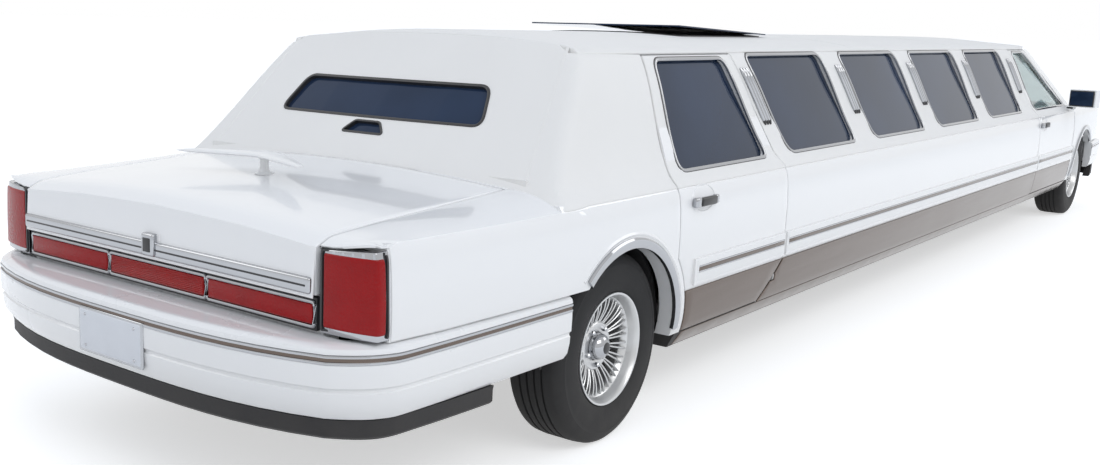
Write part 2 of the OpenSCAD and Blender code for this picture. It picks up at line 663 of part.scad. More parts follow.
module centre_reflector() color("#8e1519")
    box([rear_x + 178, -lamp_y0 + 12, bumper_top_z + 4], [rear_x + 199.6, lamp_y0 - 12, lid_z0 - shut_gap]);

// Bumper bar: bowed bar that wraps round the corners, between two levels
function bumper_line(dir, x0, d, off) = [
    for (t = [-1 : 0.25 : 1])
        [x0 + dir * (off + 110 * pow(abs(t), 3)), t * (half_w - 150 - off)],
    [x0 + dir * (230 + off * 0.5), half_w - 42 - off], [x0 + dir * 420, half_w - 16 - off],
    [x0 + dir * d, half_w - off]];

module bumper(dir, x0, d, z0, z1, t) {
    outer = bumper_line(dir, x0, d, 0);
    inner = bumper_line(dir, x0, d, t);
    flip = [for (i = [len(outer) - 1 : -1 : 9]) [outer[i][0], -outer[i][1]]];
    iflip = [for (i = [9 : len(inner) - 1]) [inner[i][0], -inner[i][1]]];
    translate([0, 0, z0]) linear_extrude(z1 - z0)
        polygon(concat(flip, outer, [for (i = [len(inner) - 1 : -1 : 0]) inner[i]], iflip));
}

module rear_bumper() color("#efefF0") {
    difference() {
        bumper(1, rear_x, rear_wheel_x - arch_r - rear_x + 20, 392, bumper_top_z, 58);
        both_sides() cyl_y(arch_r + 8, 0, width, rear_wheel_x, tyre_r, 72);
    }
    bumper(1, rear_x + 25, 700, 330, 391.5, 60);
    both_sides() box([rear_x + 50, rail_y[0], 450], [rear_x + 200, rail_y[1], 530]);
}

module front_bumper() color("#efeff0") {
    difference() {
        bumper(-1, front_x, front_x - front_wheel_x - arch_r + 20, 392, bumper_top_z - 20, 58);
        both_sides() cyl_y(arch_r + 8, 0, width, front_wheel_x, tyre_r, 72);
    }
    bumper(-1, front_x - 25, 500, 270, 391.5, 60);
    both_sides() box([front_x - 160, rail_y[0], 275], [front_x - 75, rail_y[1], 325]);
}

fender_stations = [front_door_x1, front_wheel_x, front_wheel_x + 450, front_wheel_x + 800, hood_x1 - 30];
module front_fenders() color("#f1f1f2") both_sides() {
    difference() {
        union() {
            patch([0, 0.3, 0.6, 0.8, 1], fender_stations,
                function (v, x) let (z = sill_z + v * (fender_z(x) - sill_z)) [x, side_y(x, z), z],
                function (v, x) let (z = sill_z + v * (fender_z(x) - sill_z)) [x, side_y(x, z) - 40, z]);
            patch(fender_stations, [0, 0.4, 1],
                function (x, t) fender_top(x, 1 - t),
                function (x, t) fender_top(x, 1 - t) - [0, 0, 24]);
        }
        cyl_y(arch_r, 0, width, front_wheel_x, tyre_r, 72);
        box([front_wheel_x, 0, 0], [front_x, width, bumper_top_z - 17]);
    }
}

function fender_top(x, t) = let (z = fender_z(x), yc = side_y(x, z))
    [x, yc + (803 - yc) * t, z + (hood_z(x, 803) - z) * t];

lamp_x = [hood_x1 - 30, hood_x1 + 45];
module header_panel() color("#e8e8ea") {
    box([lamp_x[0] - 30, -700, 420], [lamp_x[0], 700, 610]);
    box([lamp_x[0] - 30, -790, 609], [lamp_x[0], 790, 700]);
    both_sides() box([lamp_x[0] - 30, rail_y[0], sill_z], [lamp_x[0], rail_y[1], 421]);
}

module headlamps() color("#dfe6ea") both_sides()
    box([lamp_x[0], 318, bumper_top_z + 20], [lamp_x[1], 800, 790]);

module grille() color("#cfd1d3") {
    difference() {
        box([lamp_x[0], -310, bumper_top_z - 30], [lamp_x[1] + 25, 310, 850]);
        for (y = [-270 : 60 : 270])
            box([lamp_x[0] + 20, y - 22, bumper_top_z], [front_x, y + 22, 825]);
    }
}

// ---- Lids: the pin lies under the lid, lid_in from its hinge edge ----

module lid_hinge_barrel(x, y, z, web) {
    difference() {
        union() {
            cyl_y(barrel_r, y - 20, y + 20, x, z);
            box([min(x, x + web), y - 20, z - 5], [max(x, x + web), y + 20, z + 5]);
        }
        cyl_y(pin_r + pin_fit, y - 21, y + 21, x, z);
    }
}

// Pin and arms that stand on a foot: dir is 1 where the lid runs rearward from the pin
module lid_hinge_arm(x, y, z, dir, foot_z, wall_x) {
    cyl_y(pin_r, y - 32, y + 32, x, z);
    box([min(wall_x, x - 62 * dir), y - 32, foot_z], [max(wall_x, x - 62 * dir), y + 32, foot_z + 16]);
    for (s = [-1, 1])
        intersection() {
            union() {
                cyl_y(barrel_r + 1, y - 32, y + 32, x, z);
                side_prism([[x - 8 * dir, z + 2], [x + 5 * dir, z - 6], [x - 20 * dir, foot_z],
                    [x - 62 * dir, foot_z]], y - 32, y + 32);
            }
            box([x - 200, y + s * 27 - 5, 0], [x + 200, y + s * 27 + 5, height]);
        }
}

trunk_pin = [lid_x1 - lid_in, deck_z(lid_x1 - lid_in, 560) - lid_pin_drop];
hood_pin = [hood_x0 + lid_in, hood_z(hood_x0 + lid_in, 560) - lid_pin_drop];
module hood_hinge_fixed(y)
    lid_hinge_arm(hood_pin[0], y, hood_pin[1], -1, belt_z - 60, firewall_x + 29);

// Bulkhead and shelf between trunk and cabin, with the arms of the trunk hinges
module rear_bulkhead() color("#3f3f42") {
    box([bulkhead_x, -780, kick_z + floor_t], [bulkhead_x + 15, 780, belt_z + 65]);
    box([bulkhead_x, -780, belt_z + 50], [kick_x[0] - 131, 780, belt_z + 65]);
    for (y = [-560, 560])
        lid_hinge_arm(trunk_pin[0], y, trunk_pin[1], 1, belt_z - 75, bulkhead_x + 1);
}

// Lid skin: thin over its whole plan, thick away from its edges and its hinges
module lid_shell(xs, ys, top, inner_xs, inner_ys) {
    patch(xs, ys, function (x, y) [x, y, top(x, y)], function (x, y) [x, y, top(x, y) - 5]);
    patch(inner_xs, inner_ys, function (x, y) [x, y, top(x, y) - 3],
        function (x, y) [x, y, top(x, y) - lid_t]);
}

module trunk_lid() color("#f3f3f4") {
    top = function (x, y) deck_z(x, y);
    lid_shell([lid_x0, rear_x + 230, rear_x + 400, rear_x + 800, lid_x1],
        [-lid_y, -400, 0, 400, lid_y], top,
        [rear_x + 230, rear_x + 400, rear_x + 800, lid_x1 - lid_in - 60],
        [30 - lid_y, -400, 0, 400, lid_y - 30]);
    box([lid_x0, -lid_y, lid_z0], [lid_x0 + 24, lid_y, deck_z(lid_x0, lid_y) - 2]);
    for (y = [-560, 560]) {
        lid_hinge_barrel(trunk_pin[0], y, trunk_pin[1], -110);
    }
    box([lid_x0 - 12, -40, lid_z0 + 2], [lid_x0, 40, lid_z0 + 75]);
}

module hood() color("#f3f3f4") {
    top = function (x, y) hood_z(x, y);
    lid_shell([hood_x0, front_wheel_x, front_wheel_x + 500, front_wheel_x + 850, hood_x1],
        [-795, -400, 0, 400, 795], top,
        [hood_x0 + lid_in + 60, front_wheel_x, front_wheel_x + 500, front_wheel_x + 850, hood_x1 - 60],
        [-760, -400, 0, 400, 760]);
    for (y = [-560, 560]) lid_hinge_barrel(hood_pin[0], y, hood_pin[1], 110);
}

// Boomerang aerial on a short stalk
module tv_antenna() color("#f0f0f0") {
    x = rear_x + 640;
    z = deck_z(x, 0);
    translate([x, 0, z + 2]) cylinder(r = 24, h = 58);
    translate([x, 0, z + 59]) linear_extrude(16) polygon([
        [60, 0], [20, 120], [-110, 300], [-150, 290], [-60, 100], [-40, 0], [-60, -100],
        [-150, -290], [-110, -300], [20, -120]]);
}

// ---- Cabin ----
module dashboard() color("#5b5650") {
    box([firewall_x - 260, -700, 640], [firewall_x - 0.5, 700, 880]);
}

wheel_at = [firewall_x - 380, 370, 800];
module steering_wheel() color("#3b3836") translate(wheel_at) rotate([0, 115, 0]) {
    rotate_extrude($fn = 48) translate([185, 0]) circle(r = 14, $fn = 16);
    translate([0, 0, -8]) cylinder(r = 55, h = 16);
    for (a = [0 : 90 : 270]) rotate([0, 0, a]) translate([40, -12, -6]) cube([140, 24, 12]);
    translate([0, 0, -7]) cylinder(r = 22, h = 128.4);
}

module seat(x, y0, y1, base_z, back_h) {
    box([x - 520, y0, base_z], [x, y1, base_z + 300]);
    box([x - 640, y0, base_z], [x - 521, y1, base_z + back_h]);
}

module front_seats() color("#a59c8c")
    both_sides() seat(firewall_x - 480, 60, 700, sill_z + floor_t, 780);

module partition() color("#6f6a63")
    box([partition_x, -640, sill_z + floor_t], [partition_x + 40, 640, glass_z1 - 60]);

// Rear bench on the step in the floor, and a long bench on the left side
module lounge_seats() color("#8f8676") {
    side_prism([[kick_x[0], kick_z + floor_t], [kick_x[1], sill_z + floor_t],
        [kick_x[1] + 230, sill_z + floor_t], [kick_x[1] + 230, 640], [kick_x[0], 640]], -630, 630);
    box([kick_x[0] - 130, -630, kick_z + floor_t], [kick_x[0], 630, 1080]);
    box([rear_door_x1 + 300, 300, sill_z + floor_t], [partition_x, 690, sill_z + 300]);
    box([rear_door_x1 + 300, 690, sill_z + floor_t], [partition_x, 790, belt_z - 30]);
}

module bar_cabinet() color("#3e2c22")
    box([rear_door_x1 + 600, -780, sill_z + floor_t], [rear_door_x1 + 2600, -420, 830]);

frame_rails();
floor_pan();
wheelhouses();
cowl_and_pillars();
engine_block();
rear_bulkhead();
exhaust();
fuel_tank();
rear_axle();
front_suspension();
rear_quarters();
stretch_sides();
rocker_covers();
upper_frames();
side_glass();
pillar_bars();
vinyl_roof();
back_glass();
windshield();
sunroof_glass();
tail_panel();
tail_lamps();
centre_reflector();
rear_bumper();
front_bumper();
front_fenders();
header_panel();
headlamps();
grille();
rear_door(1);  // rear_door_left
rear_door(-1);  // rear_door_right
front_door(1);  // front_door_left
front_door(-1);  // front_door_right
rear_door_glass(1);  // rear_door_glass_left
rear_door_glass(-1);  // rear_door_glass_right
front_door_glass(1);  // front_door_glass_left
front_door_glass(-1);  // front_door_glass_right
hood();
trunk_lid();
tv_antenna();
knuckle(1);  // knuckle_left
knuckle(-1);  // knuckle_right
tyre(front_wheel_x, 1);  // front_tyre_left
tyre(front_wheel_x, -1);  // front_tyre_right
tyre(rear_wheel_x, 1);  // rear_tyre_left
tyre(rear_wheel_x, -1);  // rear_tyre_right
rim(front_wheel_x, 1);  // front_rim_left
rim(front_wheel_x, -1);  // front_rim_right
rim(rear_wheel_x, 1);  // rear_rim_left
rim(rear_wheel_x, -1);  // rear_rim_right
dashboard();
steering_wheel();
front_seats();
partition();
lounge_seats();
bar_cabinet();
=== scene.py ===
"""Looks of a stretch limousine: fine panels, trim, wheels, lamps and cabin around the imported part.
Metres, +X forward, +Y left, +Z up. Stations and levels are those of the part's source."""
import math

import bmesh
import bpy
import numpy as np
from mathutils import Matrix, Vector
from mathutils.geometry import delaunay_2d_cdt


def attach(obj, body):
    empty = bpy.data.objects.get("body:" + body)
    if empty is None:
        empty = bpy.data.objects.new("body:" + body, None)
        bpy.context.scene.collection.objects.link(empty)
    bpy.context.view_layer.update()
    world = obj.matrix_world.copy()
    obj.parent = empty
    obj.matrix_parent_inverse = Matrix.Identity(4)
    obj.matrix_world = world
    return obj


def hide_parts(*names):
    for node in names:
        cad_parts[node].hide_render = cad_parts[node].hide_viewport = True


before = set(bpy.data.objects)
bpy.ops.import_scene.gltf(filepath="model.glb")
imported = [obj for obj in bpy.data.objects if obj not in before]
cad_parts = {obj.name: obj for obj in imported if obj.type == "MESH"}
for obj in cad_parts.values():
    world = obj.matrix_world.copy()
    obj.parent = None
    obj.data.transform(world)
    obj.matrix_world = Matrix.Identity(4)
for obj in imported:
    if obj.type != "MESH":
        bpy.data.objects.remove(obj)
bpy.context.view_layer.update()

# ---- Stations and levels ----
REAR, FRONT = -5.066, 5.066
RW, FW, HUB_Z = -3.598, 3.956, 0.348
HALF_W, ARCH_R, DOOR_ARC_R = 0.964, 0.375, 0.453
RD0, RD1, FD0, FD1 = -3.246, -2.256, 2.316, 3.486
LEAN, PITCH, WIN_W, GAP = 0.150, 1.096, 0.813, 0.0055
SILL, STEEL_TOP, CREASE, BELT = 0.330, 0.500, 0.885, 0.905
GLASS0, GLASS1, RAIL, EDGE = 0.945, 1.360, 1.372, 1.395
BACK0, BACK1, SCREEN0, SCREEN1 = -4.008, -3.636, 3.461, 2.741
LID0, LID1, HOOD0, HOOD1 = -4.896, -4.026, 3.479, 4.924
LID_Y, LAMP_Y, LAMP_Z = 0.714, 0.722, (0.615, 0.870)
TAIL_X, LAMP_X = -4.888, 4.894
VINYL = 0.890
BUMPER_TOP = 0.612
rng = np.random.default_rng(7)


def curve(points):
    """Smooth curve without overshoot through (position, value in mm); flat beyond its ends."""
    x, y = (np.array(points, float) / 1000).T
    d = np.diff(y) / np.diff(x)
    m = np.r_[d[0], np.zeros(len(x) - 2), d[-1]]
    same = d[:-1] * d[1:] > 0
    m[1:-1][same] = 2 * (d[:-1] * d[1:])[same] / (d[:-1] + d[1:])[same]

    def at(q):
        q = np.clip(q, x[0], x[-1])
        i = np.clip(np.searchsorted(x, q) - 1, 0, len(x) - 2)
        h = x[i + 1] - x[i]
        t = (q - x[i]) / h
        return ((1 + 2 * t) * (1 - t) ** 2 * y[i] + t * (1 - t) ** 2 * h * m[i]
                + t * t * (3 - 2 * t) * y[i + 1] - t * t * (1 - t) * h * m[i + 1])
    return at


inset = curve([[262, 70], [335, 26], [420, 10], [500, 3], [600, 0], [700, 0], [800, 4], [860, 11],
               [885, 18], [905, 30], [945, 67], [1360, 246], [1395, 275]])
rear_taper = curve([[0, 92], [200, 52], [450, 26], [900, 8], [1400, 0]])
front_taper = curve([[90, 125], [200, 80], [500, 34], [900, 10], [1300, 0]])
deck_rise = curve([[170, -12], [230, 12], [400, 27], [800, 50], [1100, 68]])
hood_rise = curve([[-477, 80], [0, 57], [500, 20], [850, -15], [968, -37]])
roof_ends = curve([[-3636, 1000], [-3436, 0], [2241, 0], [2741, 1000]])


def side_y(x, z):
    return HALF_W - inset(z) - rear_taper(x - REAR) - front_taper(FRONT - x)


def deck_z(x, y):
    return BELT + deck_rise(x - REAR) - 0.034 * (y / 0.730) ** 2


def hood_z(x, y):
    return BELT + hood_rise(x - FW) - 0.045 * (y / 0.795) ** 2


def back_x(y, z):
    return BACK0 + 0.05 * (y / 0.8) ** 2 + (BACK1 - BACK0) * (z - 0.98) / (EDGE - 0.98)


def screen_x(y, z):
    return SCREEN0 - 0.06 * (y / 0.8) ** 2 + (SCREEN1 - SCREEN0) * (z - GLASS0) / (RAIL - GLASS0)


# ---- Surfaces: each takes N x 2 positions and gives N x 3 points ----
def side_surface(s):
    def at(p):
        return np.c_[p[:, 0], s * side_y(p[:, 0], p[:, 1]), p[:, 1]]
    return at


def averaged(raw, axis, reach, count=7):
    """Surface with the bends across one direction rounded."""
    def at(p):
        steps = np.linspace(-reach, reach, count)
        weights = 1.1 - np.abs(steps) / reach
        shift = np.eye(2)[axis]
        return sum(w * raw(p + d * shift) for w, d in zip(weights, steps)) / weights.sum()
    return at


SHOULDER = 0.2


def quarter_surface(s):
    """Rear side up to the crease, then the shoulder in to the trunk lid."""
    def raw(p):
        x, v = p.T
        t = (v - CREASE) / SHOULDER
        yc, z_in = side_y(x, CREASE + 0 * x), deck_z(x, LID_Y + 0.007)
        y = np.where(t < 0, side_y(x, v), yc + (LID_Y + 0.007 - yc) * t)
        z = np.where(t < 0, v, CREASE + (z_in - CREASE) * (1 - (1 - np.clip(t, 0, 1)) ** 2))
        return np.c_[x, s * y, z]
    return averaged(raw, 1, 0.010)


def fender_z(x):
    return np.minimum(CREASE, hood_z(x, 0.803) - 0.004)


FENDER_IN = 0.12


def fender_surface(s):
    """Front side up to the fender line, then in to the hood."""
    def raw(p):
        x, v = p.T
        zf = fender_z(x)
        z_side = SILL + (zf - SILL) * v / CREASE
        t = (v - CREASE) / FENDER_IN
        yc = side_y(x, zf)
        y = np.where(t < 0, side_y(x, z_side), yc + (0.803 - yc) * t)
        z = np.where(t < 0, z_side, zf + (hood_z(x, 0.803) - zf) * np.clip(t, 0, 1))
        return np.c_[x, s * y, z]
    return averaged(raw, 1, 0.012)


def lid_surface(p):
    """Trunk lid: its top, and its rear face for positions below zero."""
    def raw(q):
        u, y = q.T
        x = LID0 + np.maximum(u, 0) + np.minimum(u, 0) * 0.06
        top, down = deck_z(LID0 + np.maximum(u, 0), y), np.minimum(u, 0)
        crown = deck_z(LID0, 0 * y) - deck_z(LID0, y)
        return np.c_[x, y, top + down + (crown - 0.012) * np.clip(down / 0.164, -1, 0) * -1]
    return averaged(raw, 0, 0.016)(p)


def hood_surface(p):
    def raw(q):
        u, y = q.T
        x = HOOD1 - np.maximum(u, 0)
        return np.c_[x, y, hood_z(x, y) + np.minimum(u, 0)]
    return averaged(raw, 0, 0.014)(p)


def corner_y(z):
    return side_y(BACK0 + 0 * z, z) - 0.003


def roof_top(x, y):
    t = np.abs(y) / side_y(x, EDGE + 0 * x)
    return EDGE + (0.05 - 0.02 * roof_ends(x)) * (1 - np.clip(t, 0, 1) ** 2.4)


def back_surface(p):
    """Back panel between its two corners, then forward along each side."""
    def raw(q):
        u, z = q.T
        yc = corner_y(z)
        past = np.maximum(np.abs(u) - yc, 0)
        xc = back_x(yc, z)
        x = np.where(past > 0, xc + past, back_x(u, z))
        y = np.where(past > 0, side_y(xc + past, z), np.abs(u))
        return np.c_[x, np.sign(u) * y, z]
    return averaged(raw, 0, 0.045, 9)(p)


def roof_surface(p):
    """Roof between its side edges, then down each side."""
    def raw(q):
        x, w = q.T
        ye = side_y(x, EDGE + 0 * x)
        past = np.maximum(np.abs(w) - ye, 0)
        y = np.where(past > 0, side_y(x, EDGE - past), np.abs(w))
        z = np.where(past > 0, EDGE - past, roof_top(x, np.abs(w)))
        return np.c_[x, np.sign(w) * y, z]
    return averaged(raw, 1, 0.016, 5)(p)


# ---- Outlines ----
def rounded(points, r, n=6):
    """Corners replaced by short curves that start r from them."""
    pts = np.array(points, float)
    out = []
    for i, p in enumerate(pts):
        a, b = pts[i - 1], pts[(i + 1) % len(pts)]
        s = p + min(r, np.linalg.norm(a - p) * 0.45) * (a - p) / np.linalg.norm(a - p)
        e = p + min(r, np.linalg.norm(b - p) * 0.45) * (b - p) / np.linalg.norm(b - p)
        for t in np.linspace(0, 1, n + 1):
            out.append((1 - t) ** 2 * s + 2 * t * (1 - t) * p + t * t * e)
    return np.array(out)


def clip(points, axis, limit, keep_above):
    """Part of a polygon on one side of a line."""
    pts, out = np.array(points, float), []
    sign = 1 if keep_above else -1
    for i, p in enumerate(pts):
        q = pts[(i + 1) % len(pts)]
        dp, dq = sign * (p[axis] - limit), sign * (q[axis] - limit)
        if dp >= 0:
            out.append(p)
        if dp * dq < 0:
            out.append(p + (q - p) * dp / (dp - dq))
    return np.array(out)


def arc(cx, cz, r, a0, a1, n=12):
    a = np.radians(np.linspace(a0, a1, n))
    return [[cx + r * math.cos(t), cz + r * math.sin(t)] for t in a]


def arc_top(r):
    return HUB_Z + math.sqrt(r ** 2 - (RD0 - RW) ** 2)


def rear_door_outline(g):
    r, top = DOOR_ARC_R + g, RAIL - g
    return arc(RW, HUB_Z, r, 0, 37, 10) + [
        [RD0 + g, HUB_Z + math.sqrt(r ** 2 - (RD0 + g - RW) ** 2)], [RD0 + g, BELT],
        [RD0 + 0.08 + g, top], [RD1 - LEAN - g, top], [RD1 - g, BELT], [RD1 - g, STEEL_TOP],
        [RD1 - 0.19 - g, SILL + g], [RW + r, SILL + g]]


def front_door_outline(g):
    top = RAIL - g
    return [[FD0 + g, SILL + g], [FD0 + g, BELT], [FD0 - LEAN + g, top],
            [SCREEN1 - 0.1 - 2 * g, top], [FD1 - 0.098 - 2 * g, BELT + 0.007 - g],
            [FD1 - g, BELT + 0.007 - g], [FD1 - g, SILL + g]]


def rear_window():
    return rounded([[RD0 + 0.097, GLASS0], [RD0 + 0.153, GLASS1 - 0.012],
                    [RD1 - 0.24, GLASS1 - 0.012], [RD1 - 0.106, GLASS0]], 0.045)


def front_window():
    return rounded([[FD0 + 0.05, GLASS0], [FD0 - 0.088, GLASS1 - 0.012],
                    [SCREEN1 - 0.19, GLASS1 - 0.012], [FD1 - 0.215, GLASS0]], 0.045)


def stretch_window(n):
    x = RD1 + 0.143 + n * PITCH
    return rounded([[x, GLASS0], [x - LEAN - 0.015, GLASS1], [x + WIN_W - 0.13, GLASS1],
                    [x + WIN_W, GLASS0]], 0.05)


def rect(x0, z0, x1, z1):
    return [[x0, z0], [x1, z0], [x1, z1], [x0, z1]]


def refined(loop, step):
    """Loop with no side longer than step."""
    out = []
    for i, p in enumerate(loop):
        q = loop[(i + 1) % len(loop)]
        n = max(1, math.ceil(np.linalg.norm(q - p) / step))
        out += [p + (q - p) * k / n for k in range(n)]
    return np.array(out)


def area(loop):
    x, y = loop.T
    return 0.5 * np.sum(x * np.roll(y, -1) - np.roll(x, -1) * y)


def inside(points, loop):
    x, y = points.T
    hit = np.zeros(len(points), bool)
    for (x0, y0), (x1, y1) in zip(loop, np.roll(loop, -1, 0)):
        if y0 != y1:
            hit ^= ((y0 > y) != (y1 > y)) & (x < (x1 - x0) * (y - y0) / (y1 - y0) + x0)
    return hit


def outward(loop):
    """Mitred normals that point away from the material."""
    t = np.roll(loop, -1, 0) - loop
    n = np.c_[t[:, 1], -t[:, 0]]
    n /= np.linalg.norm(n, axis=1)[:, None] + 1e-12
    p = np.roll(n, 1, 0)
    m = (n + p) / (1 + np.clip((n * p).sum(1), -0.5, 1))[:, None]
    return m


# ---- Making meshes ----
def normals(surf, p, out):
    e = 0.002
    a = surf(p + [e, 0]) - surf(p - [e, 0])
    b = surf(p + [0, e]) - surf(p - [0, e])
    n = np.cross(a, b)
    n /= np.linalg.norm(n, axis=1)[:, None] + 1e-12
    return n * (1 if n.mean(0) @ np.array(out, float) > 0 else -1)


def skin_shape(surf, outer, holes=(), out=(0, 1, 0), r=0.003, depth=0.008, off=0.0025, step=0.04):
    """Closed panel on a surface, with rolled edges: (vertices, faces)."""
    loops = [np.array(outer, float)] + [np.array(h, float) for h in holes]
    loops = [l[::-1] if (area(l) > 0) != (k == 0) else l for k, l in enumerate(loops)]
    loops = [refined(l, step * 0.6) for l in loops]
    norms = [outward(l) for l in loops]
    base = [l - n * r for l, n in zip(loops, norms)]
    lo, hi = base[0].min(0), base[0].max(0)
    grid = np.array([[x, y] for x in np.arange(lo[0] + step / 2, hi[0], step)
                     for y in np.arange(lo[1] + step / 2, hi[1], step)]).reshape(-1, 2)
    if len(grid):
        keep = inside(grid, base[0])
        for h in base[1:]:
            keep &= ~inside(grid, h)
        edge = np.concatenate(base)
        for k in range(0, len(edge), 64):
            near = np.linalg.norm(grid[:, None] - edge[None, k:k + 64], axis=2).min(1)
            keep &= near > step * 0.45
        grid = grid[keep]
    flat = np.concatenate(base + [grid])
    starts = np.cumsum([0] + [len(b) for b in base])
    edges = [(s + i, s + (i + 1) % len(b)) for s, b in zip(starts, base) for i in range(len(b))]
    vo, _, fo, ov, _, _ = delaunay_2d_cdt([Vector(p) for p in flat], edges, [], 0, 1e-7)
    vo = np.array([[v.x, v.y] for v in vo])
    where = {src: k for k, srcs in enumerate(ov) for src in srcs}
    tris = np.array([f for f in fo if len(f) == 3])
    mid = vo[tris].mean(1)
    keep = inside(mid, base[0])
    for h in base[1:]:
        keep &= ~inside(mid, h)
    tris = tris[keep]
    n_flat = normals(surf, vo, out)
    verts = [surf(vo) + n_flat * off, surf(vo) + n_flat * (off - depth)]
    count = 2 * len(vo)
    faces = [list(t) for t in tris]
    back_of = {}
    rings = [(math.sin(a) * r, (1 - math.cos(a)) * r) for a in np.radians([30, 60, 90])]
    for s, b, n in zip(starts, base, norms):
        prev = [where[s + i] for i in range(len(b))]
        for out_by, down in rings + [(r, depth)]:
            p = b + n * out_by
            nn = normals(surf, p, out)
            verts.append(surf(p) + nn * (off - down))
            cur = list(range(count, count + len(b)))
            count += len(b)
            for i in range(len(b)):
                j = (i + 1) % len(b)
                faces.append([prev[i], prev[j], cur[j], cur[i]])
            prev = cur
        for i in range(len(b)):
            back_of[where[s + i]] = prev[i]
    faces += [[back_of.get(v, v + len(vo)) for v in reversed(t)] for t in tris]
    return np.concatenate(verts), faces


def bead_shape(surf, path, profile, out=(0, 1, 0), closed=True, off=0.0025):
    """Profile of (across, up) points run along a line on a surface."""
    path = np.array(path, float)
    q = surf(path) + normals(surf, path, out) * off
    up = normals(surf, path, out)
    if closed:
        t = np.roll(q, -1, 0) - np.roll(q, 1, 0)
    else:
        t = np.gradient(q, axis=0)
    t /= np.linalg.norm(t, axis=1)[:, None]
    across = np.cross(up, t)
    return rings_shape([q + across * a + up * b for a, b in profile], closed, True)


def rings_shape(lines, closed_along, closed_round):
    """Faces between neighbouring lines of points. lines[k][i] is point i of line k."""
    m, n = len(lines), len(lines[0])
    verts = np.concatenate(lines)
    faces = []
    for k in range(m if closed_round else m - 1):
        for i in range(n if closed_along else n - 1):
            k2, i2 = (k + 1) % m, (i + 1) % n
            faces.append([k * n + i, k * n + i2, k2 * n + i2, k2 * n + i])
    if not closed_along and closed_round:
        faces += [[k * n for k in range(m)], [k * n + n - 1 for k in reversed(range(m))]]
    return verts, faces


def turned(profile, centre=(0, 0, 0), axis=(0, 1, 0), n=96, closed=True):
    """Solid of revolution: profile of (radius, along) points."""
    z = Vector(axis).normalized()
    x = z.orthogonal().normalized()
    y = z.cross(x)
    x, y, z, c = (np.array(v) for v in (x, y, z, Vector(centre)))
    a = np.linspace(0, 2 * math.pi, n, endpoint=False)
    ring = np.cos(a)[:, None] * x + np.sin(a)[:, None] * y
    lines = [c + z * h + ring * max(r, 1e-5) for r, h in profile]
    return rings_shape(lines, True, closed)


def tube(points, radius, n=12, closed=False):
    pts = np.array(points, float)
    t = np.gradient(pts, axis=0) if not closed else np.roll(pts, -1, 0) - np.roll(pts, 1, 0)
    t /= np.linalg.norm(t, axis=1)[:, None]
    ref = np.array([0, 0, 1.0]) if abs(t[:, 2]).mean() < 0.8 else np.array([1.0, 0, 0])
    a = np.cross(t, ref)
    a /= np.linalg.norm(a, axis=1)[:, None]
    b = np.cross(t, a)
    rad = np.broadcast_to(radius, len(pts))[:, None]
    ang = np.linspace(0, 2 * math.pi, n, endpoint=False)
    return rings_shape([pts + rad * (math.cos(k) * a + math.sin(k) * b) for k in ang], closed, True)


def brick(lo, hi, r=0.004, cuts=3, taper=None, turn=None):
    """Box with rounded edges. taper(points) moves its vertices; turn is (angle, axis, pivot)."""
    bm = bmesh.new()
    bmesh.ops.create_cube(bm, size=1)
    lo, hi = Vector(lo), Vector(hi)
    for v in bm.verts:
        v.co = Vector((lo[k] + (v.co[k] + 0.5) * (hi[k] - lo[k]) for k in range(3)))
    r = min(r, min(hi - lo) * 0.49)
    bmesh.ops.bevel(bm, geom=bm.edges[:], offset=r, segments=cuts, profile=0.5, affect="EDGES")
    verts = np.array([v.co[:] for v in bm.verts])
    faces = [[v.index for v in f.verts] for f in bm.faces]
    bm.free()
    if taper:
        verts = taper(verts)
    if turn:
        angle, axis, pivot = turn
        m = Matrix.Rotation(math.radians(angle), 3, axis)
        verts = (verts - pivot) @ np.array(m).T + pivot
    return verts, faces


def flat_solid(points, z0, z1, place):
    """Polygon run between two levels; place(points N x 2, level) gives points."""
    pts = np.array(points, float)
    return rings_shape([np.array([place(p, z) for p in pts]) for z in (z0, z1)], True, False)[0], \
        [[i, (i + 1) % len(pts), len(pts) + (i + 1) % len(pts), len(pts) + i]
         for i in range(len(pts))] + [list(range(len(pts)))[::-1],
                                      list(range(len(pts), 2 * len(pts)))]


def mirrored(shape):
    return shape[0] * [1, -1, 1], [f[::-1] for f in shape[1]]


def moved(shape, by):
    return shape[0] + np.array(by), shape[1]


PIECES = {}


def piece(name, parts, body="body", stands_for=(), bevel=0, angle=35):
    """One object from (shape, material) pairs, riding on a body."""
    verts, faces, index, mats, base = [], [], [], [], 0
    for (v, f), mat in parts:
        if mat not in mats:
            mats.append(mat)
        verts.append(np.asarray(v, float))
        faces += [[base + i for i in face] for face in f]
        index += [mats.index(mat)] * len(f)
        base += len(v)
    mesh = bpy.data.meshes.new(name)
    mesh.from_pydata(np.concatenate(verts).tolist(), [], faces)
    for m in mats:
        mesh.materials.append(m)
    mesh.polygons.foreach_set("material_index", index)
    bm = bmesh.new()
    bm.from_mesh(mesh)
    bmesh.ops.dissolve_degenerate(bm, dist=1e-6, edges=bm.edges[:])
    bmesh.ops.recalc_face_normals(bm, faces=bm.faces[:])
    bm.to_mesh(mesh)
    bm.free()
    mesh.polygons.foreach_set("use_smooth", [True] * len(mesh.polygons))
    mesh.set_sharp_from_angle(angle=math.radians(angle))
    o = bpy.data.objects.new(name, mesh)
    bpy.context.scene.collection.objects.link(o)
    if bevel:
        b = o.modifiers.new("edge", "BEVEL")
        b.width, b.segments, b.limit_method, b.angle_limit = bevel, 2, "ANGLE", math.radians(35)
    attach(o, body)
    if stands_for:
        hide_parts(*stands_for)
    PIECES[name] = o
    return o


